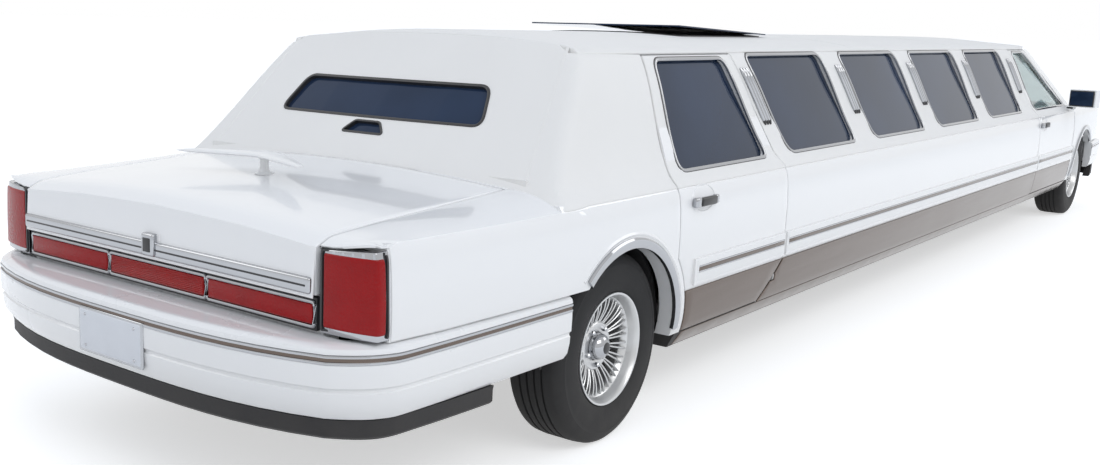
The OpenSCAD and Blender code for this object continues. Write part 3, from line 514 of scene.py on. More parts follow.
# ---- Materials: colour, roughness and relief from nodes in the row frame ----
def finish(name, color, rough=0.4, metal=0.0, coat=0.0, vary=0.04, vscale=3.0, rvary=0.05,
           bumps=(), low_tint=None, **sockets):
    """Principled material. bumps: (texture, scale, distance, stretch). low_tint: (colour, below z), mixed in
    noisy patches, more strongly towards the bottom.
    """
    m = bpy.data.materials.new(name)
    m.use_nodes = True
    nt = m.node_tree
    n, link = nt.nodes, nt.links.new
    b = n["Principled BSDF"]
    b.inputs["Metallic"].default_value = metal
    b.inputs["Coat Weight"].default_value = coat
    b.inputs["Coat Roughness"].default_value = 0.04
    for key, value in sockets.items():
        b.inputs[key.replace("_", " ")].default_value = value
    co = n.new("ShaderNodeTexCoord")
    noise = n.new("ShaderNodeTexNoise")
    noise.inputs["Scale"].default_value = vscale
    noise.inputs["Detail"].default_value = 6
    link(co.outputs["Object"], noise.inputs["Vector"])
    mix = n.new("ShaderNodeMix")
    mix.data_type = "RGBA"
    c = np.array(color)
    mix.inputs[6].default_value = (*np.clip(c * (1 - vary), 0, 1), 1)
    mix.inputs[7].default_value = (*np.clip(c * (1 + vary), 0, 1), 1)
    link(noise.outputs["Fac"], mix.inputs[0])
    out = mix.outputs[2]
    # Colour mixed in below level z, in noisy patches, more strongly towards the bottom.
    if low_tint:
        sep = n.new("ShaderNodeSeparateXYZ")
        link(co.outputs["Object"], sep.inputs[0])
        low = n.new("ShaderNodeMapRange")
        low.inputs["From Min"].default_value, low.inputs["From Max"].default_value = low_tint[1], 0.1
        low.inputs["To Max"].default_value = 0.6
        link(sep.outputs["Z"], low.inputs["Value"])
        part = n.new("ShaderNodeMath")
        part.operation = "MULTIPLY"
        link(low.outputs[0], part.inputs[0])
        link(noise.outputs["Fac"], part.inputs[1])
        low_tint_mix = n.new("ShaderNodeMix")
        low_tint_mix.data_type = "RGBA"
        low_tint_mix.inputs[7].default_value = (*low_tint[0], 1)
        link(part.outputs[0], low_tint_mix.inputs[0])
        link(out, low_tint_mix.inputs[6])
        out = low_tint_mix.outputs[2]
    link(out, b.inputs["Base Color"])
    spread = n.new("ShaderNodeMapRange")
    spread.inputs["To Min"].default_value = max(rough - rvary, 0.01)
    spread.inputs["To Max"].default_value = rough + rvary
    link(noise.outputs["Fac"], spread.inputs["Value"])
    link(spread.outputs[0], b.inputs["Roughness"])
    last = None
    for kind, scale, distance, stretch in bumps:
        scaled = n.new("ShaderNodeMapping")
        scaled.inputs["Scale"].default_value = stretch
        link(co.outputs["Object"], scaled.inputs["Vector"])
        tex = n.new("ShaderNodeTex" + kind)
        if kind == "Wave":
            tex.bands_direction = "DIAGONAL" if stretch[0] == stretch[2] else "Z"
        tex.inputs["Scale"].default_value = scale
        link(scaled.outputs[0], tex.inputs["Vector"])
        bump = n.new("ShaderNodeBump")
        bump.inputs["Strength"].default_value = 1
        bump.inputs["Distance"].default_value = distance
        link(tex.outputs["Distance" if kind == "Voronoi" else "Fac"], bump.inputs["Height"])
        if last:
            link(last.outputs[0], bump.inputs["Normal"])
        last = bump
    if last:
        link(last.outputs[0], b.inputs["Normal"])
    return m


ONE = (1, 1, 1)
# White paint turns browner towards the bottom, in noisy patches.
paint = finish("white_paint", (0.87, 0.87, 0.87), 0.22, coat=0.6, vary=0.012, vscale=1.3, rvary=0.04,
               bumps=[("Noise", 320, 0.00002, ONE)], low_tint=((0.55, 0.52, 0.48), 0.75))
vinyl = finish("vinyl", (0.83, 0.82, 0.80), 0.55, vary=0.035, vscale=2.2, rvary=0.06,
               bumps=[("Voronoi", 520, 0.0003, ONE), ("Noise", 6, 0.003, ONE)], Sheen_Weight=0.15)
chrome = finish("chrome", (0.40, 0.41, 0.43), 0.07, 1.0, vary=0.03, vscale=9, rvary=0.03,
                bumps=[("Noise", 30, 0.00015, ONE)])
# Steel base colour is dark and brown: a painted reflection of the brown ground below the car.
steel = finish("stainless", (0.135, 0.108, 0.093), 0.2, 1.0, vary=0.10, vscale=2.5, rvary=0.06,
               bumps=[("Noise", 60, 0.00025, (0.06, 1, 1)), ("Noise", 3, 0.004, (0.4, 1, 3))])
# The blue specular tint is a painted sky reflection on the dark glass.
glass = finish("dark_glass", (0.014, 0.026, 0.056), 0.03, vary=0.85, vscale=1.6, rvary=0.012,
               bumps=[("Noise", 2.0, 0.0012, (0.6, 1, 1.5))], IOR=1.36,
               Specular_Tint=(0.42, 0.60, 0.92, 1))
clear = finish("clear_glass", (0.62, 0.72, 0.72), 0.03, vary=0.02, rvary=0.01,
               bumps=[("Noise", 4, 0.0003, ONE)], Transmission_Weight=0.85, IOR=1.25)
red = finish("red_lens", (0.31, 0.002, 0.004), 0.14, vary=0.18, vscale=14, rvary=0.04,
             bumps=[("Voronoi", 150, 0.0008, ONE)], Specular_IOR_Level=0.22)
red_ribbed = finish("red_ribbed", (0.36, 0.006, 0.006), 0.2, vary=0.2, vscale=20,
                    bumps=[("Wave", 55, 0.002, (0.001, 0.001, 1))], Specular_IOR_Level=0.22)
lens = finish("lamp_lens", (0.72, 0.76, 0.78), 0.06, coat=0.6, vary=0.06, vscale=12,
              bumps=[("Wave", 30, 0.0012, (1, 1, 1.01))], IOR=1.5)
amber = finish("amber_lens", (0.75, 0.25, 0.03), 0.12, coat=0.5, vary=0.1, vscale=20,
               bumps=[("Voronoi", 160, 0.001, ONE)])
black = finish("black_metal", (0.022, 0.022, 0.024), 0.6, 0.0, vary=0.2, vscale=8, rvary=0.12,
               bumps=[("Noise", 60, 0.0006, ONE)], low_tint=((0.11, 0.10, 0.09), 0.7),
               Specular_IOR_Level=0.25)
trim = finish("black_trim", (0.022, 0.022, 0.024), 0.38, vary=0.15, vscale=20, rvary=0.08,
              bumps=[("Noise", 400, 0.0001, ONE)])
iron = finish("axle_iron", (0.07, 0.065, 0.06), 0.7, 0.6, vary=0.3, vscale=12,
              bumps=[("Noise", 50, 0.0012, ONE)])
engine = finish("engine_metal", (0.30, 0.30, 0.31), 0.5, 0.9, vary=0.2, vscale=15,
                bumps=[("Noise", 90, 0.0008, ONE)])
pipe = finish("exhaust_steel", (0.42, 0.40, 0.37), 0.42, 0.9, vary=0.25, vscale=10,
              bumps=[("Noise", 40, 0.0006, ONE)])
rubber = finish("tyre_rubber", (0.020, 0.020, 0.021), 0.72, vary=0.25, vscale=14, rvary=0.1,
                bumps=[("Noise", 150, 0.0004, ONE)], low_tint=((0.08, 0.075, 0.07), 0.5),
                Specular_IOR_Level=0.25)
alloy = finish("alloy", (0.56, 0.565, 0.57), 0.3, 0.85, vary=0.06, vscale=16, rvary=0.07,
               bumps=[("Noise", 120, 0.0002, ONE)])
white_plastic = finish("white_plastic", (0.84, 0.84, 0.835), 0.3, coat=0.3, vary=0.02, vscale=5,
                       bumps=[("Noise", 300, 0.00005, ONE)])
# Bumper white turns browner towards the bottom, in noisy patches.
bumper_paint = finish("bumper_white", (0.86, 0.86, 0.86), 0.28, coat=0.6, vary=0.015, vscale=2,
                      bumps=[("Noise", 280, 0.00003, ONE)], low_tint=((0.55, 0.52, 0.48), 0.6))
leather = finish("seat_leather", (0.50, 0.45, 0.37), 0.48, vary=0.12, vscale=7, rvary=0.08,
                 bumps=[("Voronoi", 330, 0.0006, ONE), ("Noise", 12, 0.003, ONE)])
wood = finish("bar_wood", (0.16, 0.075, 0.035), 0.25, coat=0.6, vary=0.5, vscale=2.5,
              bumps=[("Noise", 60, 0.0003, (0.1, 1, 1))])
carpet = finish("carpet", (0.10, 0.10, 0.11), 0.95, vary=0.3, vscale=60,
                bumps=[("Noise", 700, 0.003, ONE)], Sheen_Weight=0.3)
dash = finish("dashboard", (0.24, 0.22, 0.20), 0.6, vary=0.12, vscale=15,
              bumps=[("Voronoi", 400, 0.0004, ONE)])
plate_white = finish("plate", (0.72, 0.74, 0.78), 0.45, vary=0.06, vscale=10,
                     bumps=[("Noise", 150, 0.0002, ONE)])

CARRIED = {
    "frame_rails": black, "floor_pan": black, "wheelhouses": black, "cowl_and_pillars": paint,
    "engine_block": engine, "rear_bulkhead": vinyl, "exhaust": pipe, "fuel_tank": black,
    "rear_axle": iron, "front_suspension": iron, "knuckle_left": iron, "knuckle_right": iron,
    "rear_quarters": paint, "stretch_sides": paint, "upper_frames": vinyl, "side_glass": glass,
    "back_glass": glass, "windshield": clear, "sunroof_glass": glass, "tail_panel": paint,
    "front_fenders": paint, "header_panel": trim, "rear_door_glass_left": glass,
    "rear_door_glass_right": glass, "front_door_glass_left": clear,
    "front_door_glass_right": clear, "hood": paint, "trunk_lid": paint, "partition": wood}
for door in ("rear_door_left", "rear_door_right", "front_door_left", "front_door_right"):
    CARRIED[door] = paint
for node, mat in CARRIED.items():
    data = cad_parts[node].data
    data.materials.clear()
    data.materials.append(mat)


# ---- Body sides ----
def side_name(s):
    return "left" if s > 0 else "right"


def cut_between(outline, z0, z1):
    return clip(clip(outline, 1, z0, True), 1, z1, False)


def outer_of(s):
    return (0, s, 0)


def panel(surf, outer, holes=(), out=(0, 1, 0), **k):
    return skin_shape(surf, outer, holes, out, **k)


WINDOW_EDGE = [(-0.009, -0.004), (-0.009, 0.0035), (-0.006, 0.0055), (0.001, 0.0055),
               (0.0045, 0.0035), (0.0045, -0.012)]
GASKET = [(0.0035, -0.012), (0.0035, 0.0025), (0.007, 0.0030), (0.011, 0.0005), (0.013, -0.013)]


def grown(loop, d):
    loop = np.array(loop, float)
    if area(loop) < 0:
        loop = loop[::-1]
    return loop + outward(loop) * d


def window_trim(s, loop):
    """Chrome bead on the frame's edge, and the black seal between it and the glass."""
    surf = side_surface(s)
    loop = refined(grown(loop, 0), 0.05)
    flip = -s
    rim = bead_shape(surf, grown(loop, 0.004), [(a * -flip, b) for a, b in WINDOW_EDGE], outer_of(s))
    seal = bead_shape(surf, grown(loop, 0.004), [(a * flip, b) for a, b in
                                                 [(-p, q) for p, q in GASKET]], outer_of(s))
    return [(rim, chrome), (seal, trim)]


def moulding(s, x0, x1):
    """White side moulding with a bright double line."""
    surf = side_surface(s)
    z0, z1 = 0.517, 0.613
    band = panel(surf, rounded(rect(x0, z0, x1, z1), 0.008), out=outer_of(s), r=0.007, depth=0.018,
                 off=0.0125, step=0.06)
    bright = [panel(surf, rect(x0 + 0.012, z, x1 - 0.012, z + 0.007), out=outer_of(s), r=0.0025,
                    depth=0.006, off=0.0150, step=0.2) for z in (0.560, 0.581)]
    groove = panel(surf, rect(x0 + 0.012, 0.567, x1 - 0.012, 0.581), out=outer_of(s), r=0.001,
                   depth=0.004, off=0.0132, step=0.2)
    return [(band, white_plastic), (groove, steel)] + [(b, chrome) for b in bright]


def handle(s, x, body):
    """Pull handle in a round dish: black paddle between bright ends."""
    z = 0.833
    y = side_y(np.array([x + 0.06]), np.array([z]))[0]
    t = np.radians(np.linspace(0, 360, 40, endpoint=False))
    x -= 0.045
    dish = np.c_[x + 0.085 + 0.090 * np.cos(t), z + 0.010 + 0.050 * np.sin(t)]
    parts = [(bead_shape(side_surface(s), dish, [(-0.004, -0.002), (0, 0.0015), (0.004, -0.002)],
                         outer_of(s)), paint)]
    for lo, hi, mat in (((x - 0.012, y + 0.002, z - 0.019), (x + 0.030, y + 0.026, z + 0.019), chrome),
                        ((x + 0.024, y + 0.008, z - 0.017), (x + 0.150, y + 0.030, z + 0.017), trim),
                        ((x + 0.146, y + 0.002, z - 0.018), (x + 0.178, y + 0.024, z + 0.018), chrome)):
        b = brick(lo, hi, 0.008)
        parts.append((b if s > 0 else mirrored(b), mat))
    return parts


def door(s, kind):
    front = kind == "front"
    outline = (front_door_outline if front else rear_door_outline)(GAP)
    window = front_window() if front else rear_window()
    body = f"{kind}_door_{side_name(s)}_body"
    surf, out = side_surface(s), outer_of(s)
    lower = cut_between(outline, STEEL_TOP + 0.001, VINYL - 0.0015)
    upper = clip(outline, 1, VINYL + 0.0015, True)
    parts = [(panel(surf, lower, out=out, off=0.002), paint),
             (panel(surf, upper, [window], out=out, r=0.005, off=0.004, depth=0.012), vinyl),
             (panel(surf, cut_between(outline, SILL + GAP, STEEL_TOP - 0.001), out=out, off=0.0035,
                    step=0.05), steel)]
    parts += window_trim(s, window)
    if front:
        parts += moulding(s, FD0 + 0.012, FD1 - 0.014)
        parts += handle(s, FD0 + 0.085, body)
    else:
        parts += moulding(s, RD0 + 0.145, RD1 - 0.014)
        parts += handle(s, RD0 + 0.150, body)
    piece(f"{kind}_door_skin_{side_name(s)}", parts, body)
    if front:
        mirror(s, body)


def mirror(s, body):
    x = FD1 - 0.212
    y = side_y(np.array([x]), np.array([BELT]))[0]

    def shell(v):
        k = (v[:, 1] - (y + 0.012)) / 0.185
        v = v.copy()
        mid = BELT + 0.030 + 0.0675
        v[:, 2] = mid + (v[:, 2] - mid) * (1 - 0.16 * k ** 2)
        ahead = v[:, 0] > x + 0.02
        v[ahead, 0] -= (0.030 * k ** 2)[ahead]
        return v
    turn = (8, "Z", np.array([x, y, BELT]))
    cap = brick((x - 0.022, y + 0.012, BELT + 0.030), (x + 0.070, y + 0.197, BELT + 0.165), 0.028, 5,
                shell, turn)
    rim = brick((x - 0.028, y + 0.018, BELT + 0.036), (x - 0.015, y + 0.191, BELT + 0.159), 0.006, 3,
                None, turn)
    pane = brick((x - 0.031, y + 0.026, BELT + 0.044), (x - 0.026, y + 0.183, BELT + 0.151), 0.002, 2,
                 None, turn)
    foot = brick((x, y - 0.012, BELT + 0.004), (x + 0.05, y + 0.05, BELT + 0.036), 0.01)
    parts = [(cap, paint), (rim, trim), (pane, glass), (foot, trim)]
    if s < 0:
        parts = [(mirrored(p), m) for p, m in parts]
    piece(f"door_mirror_{side_name(s)}", parts, body)


def quarter(s):
    surf, out = quarter_surface(s), outer_of(s)
    arch = [[RW + ARCH_R * math.cos(a), HUB_Z + ARCH_R * math.sin(a)]
            for a in np.linspace(math.radians(134.6), 0, 26)]
    door_side = [[RW + DOOR_ARC_R * math.cos(a), HUB_Z + DOOR_ARC_R * math.sin(a)]
                 for a in np.linspace(0, math.radians(38), 10)]
    outline = ([[-4.812, BUMPER_TOP + 0.006]] + arch + [[RW + ARCH_R, SILL], [RW + DOOR_ARC_R, SILL]]
               + door_side + [[RD0, arc_top(DOOR_ARC_R)], [RD0, VINYL - 0.0015], [-3.862, VINYL - 0.0015],
                              [-3.905, CREASE + 0.05], [-3.945, CREASE + SHOULDER],
                              [-4.885, CREASE + SHOULDER], [-4.884, CREASE + 0.75 * SHOULDER],
                              [-4.878, CREASE + 0.5 * SHOULDER], [-4.868, CREASE + 0.25 * SHOULDER],
                              [-4.853, CREASE + 0.002], [-4.838, LAMP_Z[1] + 0.006],
                              [-4.812, LAMP_Z[1] + 0.004]])
    parts = [(panel(surf, outline, out=out, off=0.0025, step=0.03), paint)]
    rim = [[RW + (ARCH_R + 0.016) * math.cos(a), HUB_Z + (ARCH_R + 0.016) * math.sin(a)]
           for a in np.linspace(math.radians(133), math.radians(2), 48)]
    lip = [(-0.019, -0.008), (-0.019, 0.006), (-0.012, 0.010), (0.010, 0.010), (0.017, 0.005),
           (0.017, -0.008)]
    parts.append((bead_shape(side_surface(s), rim, lip, out, closed=False), chrome))
    flare = [[RW + (ARCH_R + 0.045) * math.cos(a), HUB_Z + (ARCH_R + 0.045) * math.sin(a)]
             for a in np.linspace(math.radians(135), math.radians(4), 48)]
    parts.append((bead_shape(side_surface(s), flare, [(-0.016, -0.004), (0, 0.004), (0.016, -0.004)],
                             out, closed=False), paint))
    piece(f"rear_quarter_skin_{side_name(s)}", parts)


def stretch(s):
    surf, out = side_surface(s), outer_of(s)
    outline = rect(RD1 + 0.0015, STEEL_TOP + 0.001, FD0 - 0.0015, VINYL - 0.0015)
    parts = [(panel(surf, outline, out=out, off=0.002, step=0.05), paint)]
    low = [[RD1 - 0.19 + 0.002, SILL + 0.003], [FD0 - 0.0015, SILL + 0.003],
           [FD0 - 0.0015, STEEL_TOP - 0.001], [RD1 + 0.0015, STEEL_TOP - 0.001],
           [RD1 - 0.0681, 0.438], [RD1 - 0.058, 0.436], [RD1 - 0.058, 0.411], [RD1 - 0.1024, 0.408]]
    parts.append((panel(surf, low, out=out, off=0.0055, step=0.05), steel))
    sill = rect(RD0 + 0.13, 0.264, FW - 0.45, SILL - 0.004)
    parts.append((panel(surf, sill, out=out, off=0.001, step=0.06), steel))
    parts += moulding(s, RD1 + 0.012, FD0 - 0.012)
    piece(f"stretch_skin_{side_name(s)}", parts, stands_for=() if s < 0 else ("rocker_covers",))
    holes = [stretch_window(n) for n in range(4)]
    upper = [[RD1 + 0.0015, VINYL + 0.0015], [FD0 - 0.0015, VINYL + 0.0015], [FD0 - 0.0015, BELT],
             [FD0 - LEAN - 0.0015, RAIL - 0.001], [RD1 - LEAN + 0.0015, RAIL - 0.001],
             [RD1 + 0.0015, BELT]]
    parts = [(panel(surf, upper, holes, out=out, r=0.005, off=0.004, depth=0.012), vinyl)]
    for h in holes:
        parts += window_trim(s, h)
    piece(f"stretch_frame_skin_{side_name(s)}", parts)
    bars = []
    for n in range(5):
        for k in (-1, 0, 1):
            x0 = RD1 + 0.06 + n * PITCH + k * 0.027 - 0.05
            z = np.linspace(1.070, 1.310, 14)
            x = x0 - 0.165 * (z - 1.070) / 0.415
            y = side_y(x, z) + 0.0085
            w = 0.0118 * np.sqrt(np.clip(1 - (np.abs(z - 1.19) / 0.1215) ** 8, 0.02, 1))
            dark = z < 1.105
            pts = np.c_[x, s * y, z]
            bars.append((tube(pts[z >= 1.08], w[z >= 1.08], 10), chrome))
            bars.append((tube(pts[dark], w[dark] * 1.04, 10), trim))
    return bars


def fender(s):
    surf, out = fender_surface(s), outer_of(s)
    def v_of(x, z):
        return (z - SILL) / (float(fender_z(np.array([x]))[0]) - SILL) * CREASE
    arch = [(FW + ARCH_R * math.cos(a), HUB_Z + ARCH_R * math.sin(a))
            for a in np.linspace(math.radians(180), math.radians(40), 28)]
    low_z = BUMPER_TOP - 0.015
    pts = [(FD1 + 0.0015, SILL), (FW - ARCH_R, SILL)] + arch + [(FW + 0.29, low_z), (HOOD1 - 0.032, low_z)]
    outline = [[x, v_of(x, z)] for x, z in pts] + [[HOOD1 - 0.032, CREASE + FENDER_IN],
                                                   [FD1 + 0.0015, CREASE + FENDER_IN]]
    parts = [(panel(surf, outline, out=out, off=0.0025, step=0.03), paint)]
    rim = [[FW + (ARCH_R + 0.016) * math.cos(a), HUB_Z + (ARCH_R + 0.016) * math.sin(a)]
           for a in np.linspace(math.radians(178), math.radians(43), 48)]
    lip = [(-0.019, -0.008), (-0.019, 0.006), (-0.012, 0.010), (0.010, 0.010), (0.017, 0.005),
           (0.017, -0.008)]
    parts.append((bead_shape(side_surface(s), rim, lip, out, closed=False), chrome))
    parts += moulding(s, FD1 + 0.012, FW - ARCH_R - 0.06)
    piece(f"front_fender_skin_{side_name(s)}", parts)


# ---- Roof and back panel ----
def back_outline():
    zs = np.linspace(0, 1, 12)
    xs_door = lambda z: RD0 - 0.0015 + np.where(z > BELT, 0.08 * (z - BELT) / (RAIL - BELT), 0)
    right = []
    for z in VINYL + 0.0015 + zs * (RAIL - 0.001 - VINYL - 0.0015):
        yc = corner_y(np.array([z]))[0]
        right.append([yc + xs_door(z) - back_x(yc, z), z])
    yt = float(corner_y(np.array([EDGE]))[0])
    top = [[y, RAIL + 0.006 + (EDGE - RAIL) * min(1, (yt - abs(y)) / 0.05) + 0.028 *
            (1 - (abs(y) / yt) ** 2.4)] for y in np.linspace(yt, -yt, 24)]
    low_side = [[float(corner_y(np.array([z]))[0]) + x - back_x(float(corner_y(np.array([z]))[0]), z), z]
                for x, z in ((-4.0, 0.886), (-3.94, 0.886), (-3.89, 0.8885), (-3.862, VINYL + 0.0015))]
    bottom = [[y, 0.966 - 0.045 * (abs(y) / 0.8) ** 2.2 - 0.3 * max(abs(y) - 0.78, 0)]
              for y in np.linspace(-0.86, 0.86, 24)]
    left = [[-u, z] for u, z in reversed(right)]
    lower_left = [[-u, z] for u, z in reversed(low_side)]
    return bottom + low_side + right + top + left + lower_left


def back_window():
    return rounded([[-0.5, 1.118], [0.5, 1.118], [0.45, 1.25], [-0.45, 1.25]], 0.04)


BRAKE = [[-0.1, 1.062], [0.1, 1.062], [0.06, 1.1], [-0.06, 1.1]]


def roof_pieces():
    window = [[u, z] for u, z in back_window()]
    parts = [(panel(back_surface, back_outline(), [window, rounded(BRAKE, 0.012)], out=(-1, 0, 0.5),
                    r=0.006, depth=0.03, off=0.003, step=0.018), vinyl)]
    loop = refined(grown(window, 0.002), 0.04)
    parts.append((bead_shape(back_surface, loop, [(-0.007, -0.02), (-0.007, 0.002), (-0.003, 0.004),
                                                  (0.004, 0.003), (0.006, -0.003)],
                             (-1, 0, 0.5)), trim))
    brake = refined(grown(rounded(BRAKE, 0.012), 0.002), 0.02)
    parts.append((bead_shape(back_surface, brake, [(-0.005, -0.02), (-0.005, 0.003), (0.003, 0.003),
                                                   (0.004, -0.003)], (-1, 0, 0.5)), trim))
    for s in (1, -1):
        seam = [[s * (0.665 + 0.11 * (1 - t)), 1.40 - 0.46 * (1 - t)] for t in np.linspace(0.02, 0.99, 24)]
        parts.append((bead_shape(back_surface, seam, [(-0.006, -0.003), (-0.003, 0.0012), (0, 0.0002),
                                                      (0.003, 0.0012), (0.006, -0.003)],
                                 (-1, 0, 0.5), closed=False, off=0.003), vinyl))
    piece("vinyl_back_panel", parts, stands_for=("vinyl_roof",))
    ye = float(side_y(np.array([0.0]), np.array([EDGE]))[0])
    rear = []
    for y in np.linspace(-ye, ye, 24):
        zt = RAIL + 0.006 + (EDGE - RAIL) * min(1, (ye - abs(y)) / 0.05) + 0.028 * (1 - (abs(y) / ye) ** 2.4)
        rear.append([float(back_x(y, zt)) + 0.012, y])
    down = EDGE - RAIL - 0.002
    outline = ([[SCREEN1 - 0.10, -ye - down], [SCREEN1 - 0.004, -ye], [SCREEN1 - 0.004, ye],
                [SCREEN1 - 0.10, ye + down]] + [[rear[-1][0] + 0.01, ye + down]] + rear[::-1]
               + [[rear[0][0] + 0.01, -ye - down]])
    hole = rounded(rect(-2.236, -0.38, -1.336, 0.38), 0.05)
    roof = [(panel(roof_surface, outline, [hole], out=(0, 0, 1), r=0.005, depth=0.022, off=0.002,
                   step=0.07), vinyl),
            (bead_shape(roof_surface, refined(grown(hole, 0), 0.05),
                        [(-0.010, -0.01), (-0.010, 0.004), (0.006, 0.004), (0.008, -0.01)], (0, 0, 1)),
             trim)]
    for x in (-0.93, 0.9):
        seam = [[x, y] for y in np.linspace(-ye - 0.015, ye + 0.015, 40)]
        roof.append((bead_shape(roof_surface, seam, [(-0.006, -0.003), (-0.003, 0.0012), (0, 0.0002),
                                                     (0.003, 0.0012), (0.006, -0.003)],
                                (0, 0, 1), closed=False, off=0.002), vinyl))
    piece("vinyl_roof_skin", roof)
    deck = [[-4.017, -0.80], [-3.93, -0.80], [-3.93, 0.80], [-4.017, 0.80]]
    piece("deck_filler", [(panel(lambda p: np.c_[p[:, 0], p[:, 1], deck_z(p[:, 0], p[:, 1])],
                                 [[-4.017, -0.722], [-3.94, -0.722], [-3.94, 0.722], [-4.017, 0.722]],
                                 out=(0, 0, 1), depth=0.012), paint)])


# ---- Lids ----
def lids():
    u_low = -(0.893 - 0.729)
    outline = [[u_low, -LID_Y + 0.002], [LID1 - LID0 - 0.002, -LID_Y + 0.002],
               [LID1 - LID0 - 0.002, LID_Y - 0.002], [u_low, LID_Y - 0.002]]
    parts = [(panel(lid_surface, outline, out=(-0.3, 0, 1), r=0.004, depth=0.006, off=0.003,
                    step=0.035), paint)]
    bar = brick((LID0 - 0.021, -LID_Y + 0.006, 0.728), (LID0 - 0.002, LID_Y - 0.006, 0.776), 0.008, 4)
    line = brick((LID0 - 0.023, -LID_Y + 0.02, 0.749), (LID0 - 0.018, LID_Y - 0.02, 0.755), 0.002, 2)
    cover = brick((LID0 - 0.030, -0.030, 0.730), (LID0 - 0.004, 0.030, 0.803), 0.008, 4)
    face = brick((LID0 - 0.0325, -0.018, 0.744), (LID0 - 0.027, 0.018, 0.789), 0.005, 3)
    parts += [(bar, chrome), (line, trim), (cover, chrome), (face, trim)]
    piece("trunk_lid_skin", parts, "trunk_lid_body")
    outline = [[-0.012, -0.79], [HOOD1 - HOOD0 - 0.002, -0.79], [HOOD1 - HOOD0 - 0.002, 0.79],
               [-0.012, 0.79]]
    parts = [(panel(hood_surface, outline, out=(0, 0, 1), r=0.004, depth=0.006, off=0.003, step=0.04),
              paint)]
    for y in (-0.33, 0.33):
        ridge = [[u, y * (1 + 0.25 * u)] for u in np.linspace(0.03, 1.38, 30)]
        parts.append((bead_shape(hood_surface, ridge, [(-0.03, -0.001), (0, 0.004), (0.03, -0.001)],
                                 (0, 0, 1), closed=False, off=0.003), paint))
    piece("hood_skin", parts, "hood_body")


# ---- Bumpers ----
def bumper_path(direction, x0, length, off, n=9):
    """Plan of the bumper's face, from one side's end to the other."""
    y_mid = HALF_W - 0.15 - off
    half = [[x0 + direction * (off + 0.11 * t ** 3), t * y_mid] for t in np.linspace(0, 1, 9)]
    knots = [half[-1], [x0 + direction * (0.23 + off * 0.5), HALF_W - 0.042 - off],
             [x0 + direction * 0.42, HALF_W - 0.016 - off], [x0 + direction * length, HALF_W - off]]
    before = half[-2]
    pts = [before] + knots + [[knots[-1][0] + direction * 0.2, knots[-1][1] + 0.002]]
    fine = []
    for k in range(1, len(pts) - 2):
        a, b, c, d = (np.array(p) for p in pts[k - 1:k + 3])
        for t in np.linspace(0, 1, n, endpoint=False):
            fine.append(0.5 * (2 * b + (c - a) * t + (2 * a - 5 * b + 4 * c - d) * t * t
                               + (3 * b - a - 3 * c + d) * t ** 3))
    fine.append(np.array(knots[-1]))
    right = np.array(half[:-1] + [list(p) for p in fine])
    return np.concatenate([(right * [1, -1])[::-1][:-1], right])


def bumper_sweep(direction, x0, length, profile):
    """Profile of (inward distance, level) points run round the bumper."""
    lines = []
    for d, z in profile:
        p = bumper_path(direction, x0, length, d)
        lines.append(np.c_[p, np.full(len(p), z)])
    return rings_shape(lines, False, True)


def bumper(direction, x0, length, top, name, node, valance):
    t = top
    body = [(0.058, t - 0.002), (0.030, t), (0.014, t - 0.003), (0.004, t - 0.010), (0.0005, t - 0.020),
            (0.0005, t - 0.024), (0.003, t - 0.026), (0.003, t - 0.052), (0.0005, t - 0.054),
            (0.0, t - 0.075), (0.001, t - 0.118), (0.005, t - 0.122), (0.008, t - 0.126),
            (0.008, t - 0.132), (0.004, t - 0.136), (0.005, t - 0.160), (0.012, t - 0.195),
            (0.026, t - 0.216), (0.058, t - 0.219)]
    strip = [(0.004, t - 0.0265), (0.0015, t - 0.027), (0.0015, t - 0.0515), (0.004, t - 0.052)]
    parts = [(bumper_sweep(direction, x0, length, body), bumper_paint),
             (bumper_sweep(direction, x0, length, strip), steel)]
    for z in (t - 0.025, t - 0.0435):
        lip = [(0.003, z), (-0.001, z - 0.001), (-0.002, z - 0.0045), (-0.001, z - 0.0085),
               (0.003, z - 0.0095)]
        parts.append((bumper_sweep(direction, x0, length, lip), chrome))
    near = bumper_path(direction, x0, length, 0.03)
    shelf = near[(near[:, 0] * direction) < -4.872 if direction > 0 else near[:, 0] > 4.872]
    parts.append((flat_solid(shelf, t - 0.014, t - 0.0015, lambda p, z: [p[0], p[1], z]), bumper_paint))
    low, l_len = valance
    skirt = [(0.060, t - 0.221), (0.027, t - 0.2195), (0.030, t - 0.235), (0.030, low + 0.01),
             (0.040, low), (0.085, low)]
    parts.append((bumper_sweep(direction, x0, l_len, skirt), black))
    return parts


def bumpers():
    parts = bumper(1, REAR, RW - ARCH_R - REAR + 0.012, BUMPER_TOP, "rear", "rear_bumper", (0.332, 0.72))
    plate = brick((REAR - 0.006, -0.155, 0.432), (REAR + 0.004, 0.155, 0.562), 0.004, 3)
    frame_ = brick((REAR - 0.004, -0.163, 0.424), (REAR + 0.006, 0.163, 0.570), 0.005, 3)
    parts += [(plate, plate_white), (frame_, chrome)]
    for y in (-0.125, 0.125):
        for z in (0.447, 0.547):
            parts.append((turned([(0, 0), (0.005, 0.0002), (0.0042, 0.0025), (0.0001, 0.0032)],
                                 (REAR - 0.006, y, z), (-1, 0, 0), 14), chrome))
    for s in (1, -1):
        parts.append((brick((REAR + 0.05, s * 0.439 - 0.039, 0.45), (REAR + 0.2, s * 0.439 + 0.039, 0.53),
                            0.006), black))
    piece("rear_bumper_cover", parts, stands_for=("rear_bumper",))
    parts = bumper(-1, FRONT, FRONT - FW - ARCH_R + 0.012, BUMPER_TOP - 0.02, "front", "front_bumper",
                   (0.272, 0.52))
    parts.append((brick((FRONT - 0.004, -0.155, 0.41), (FRONT + 0.004, 0.155, 0.54), 0.004, 3),
                  plate_white))
    for s in (1, -1):
        parts.append((brick((FRONT - 0.16, s * 0.439 - 0.039, 0.275),
                            (FRONT - 0.075, s * 0.439 + 0.039, 0.325), 0.006), black))
    piece("front_bumper_cover", parts, stands_for=("front_bumper",))


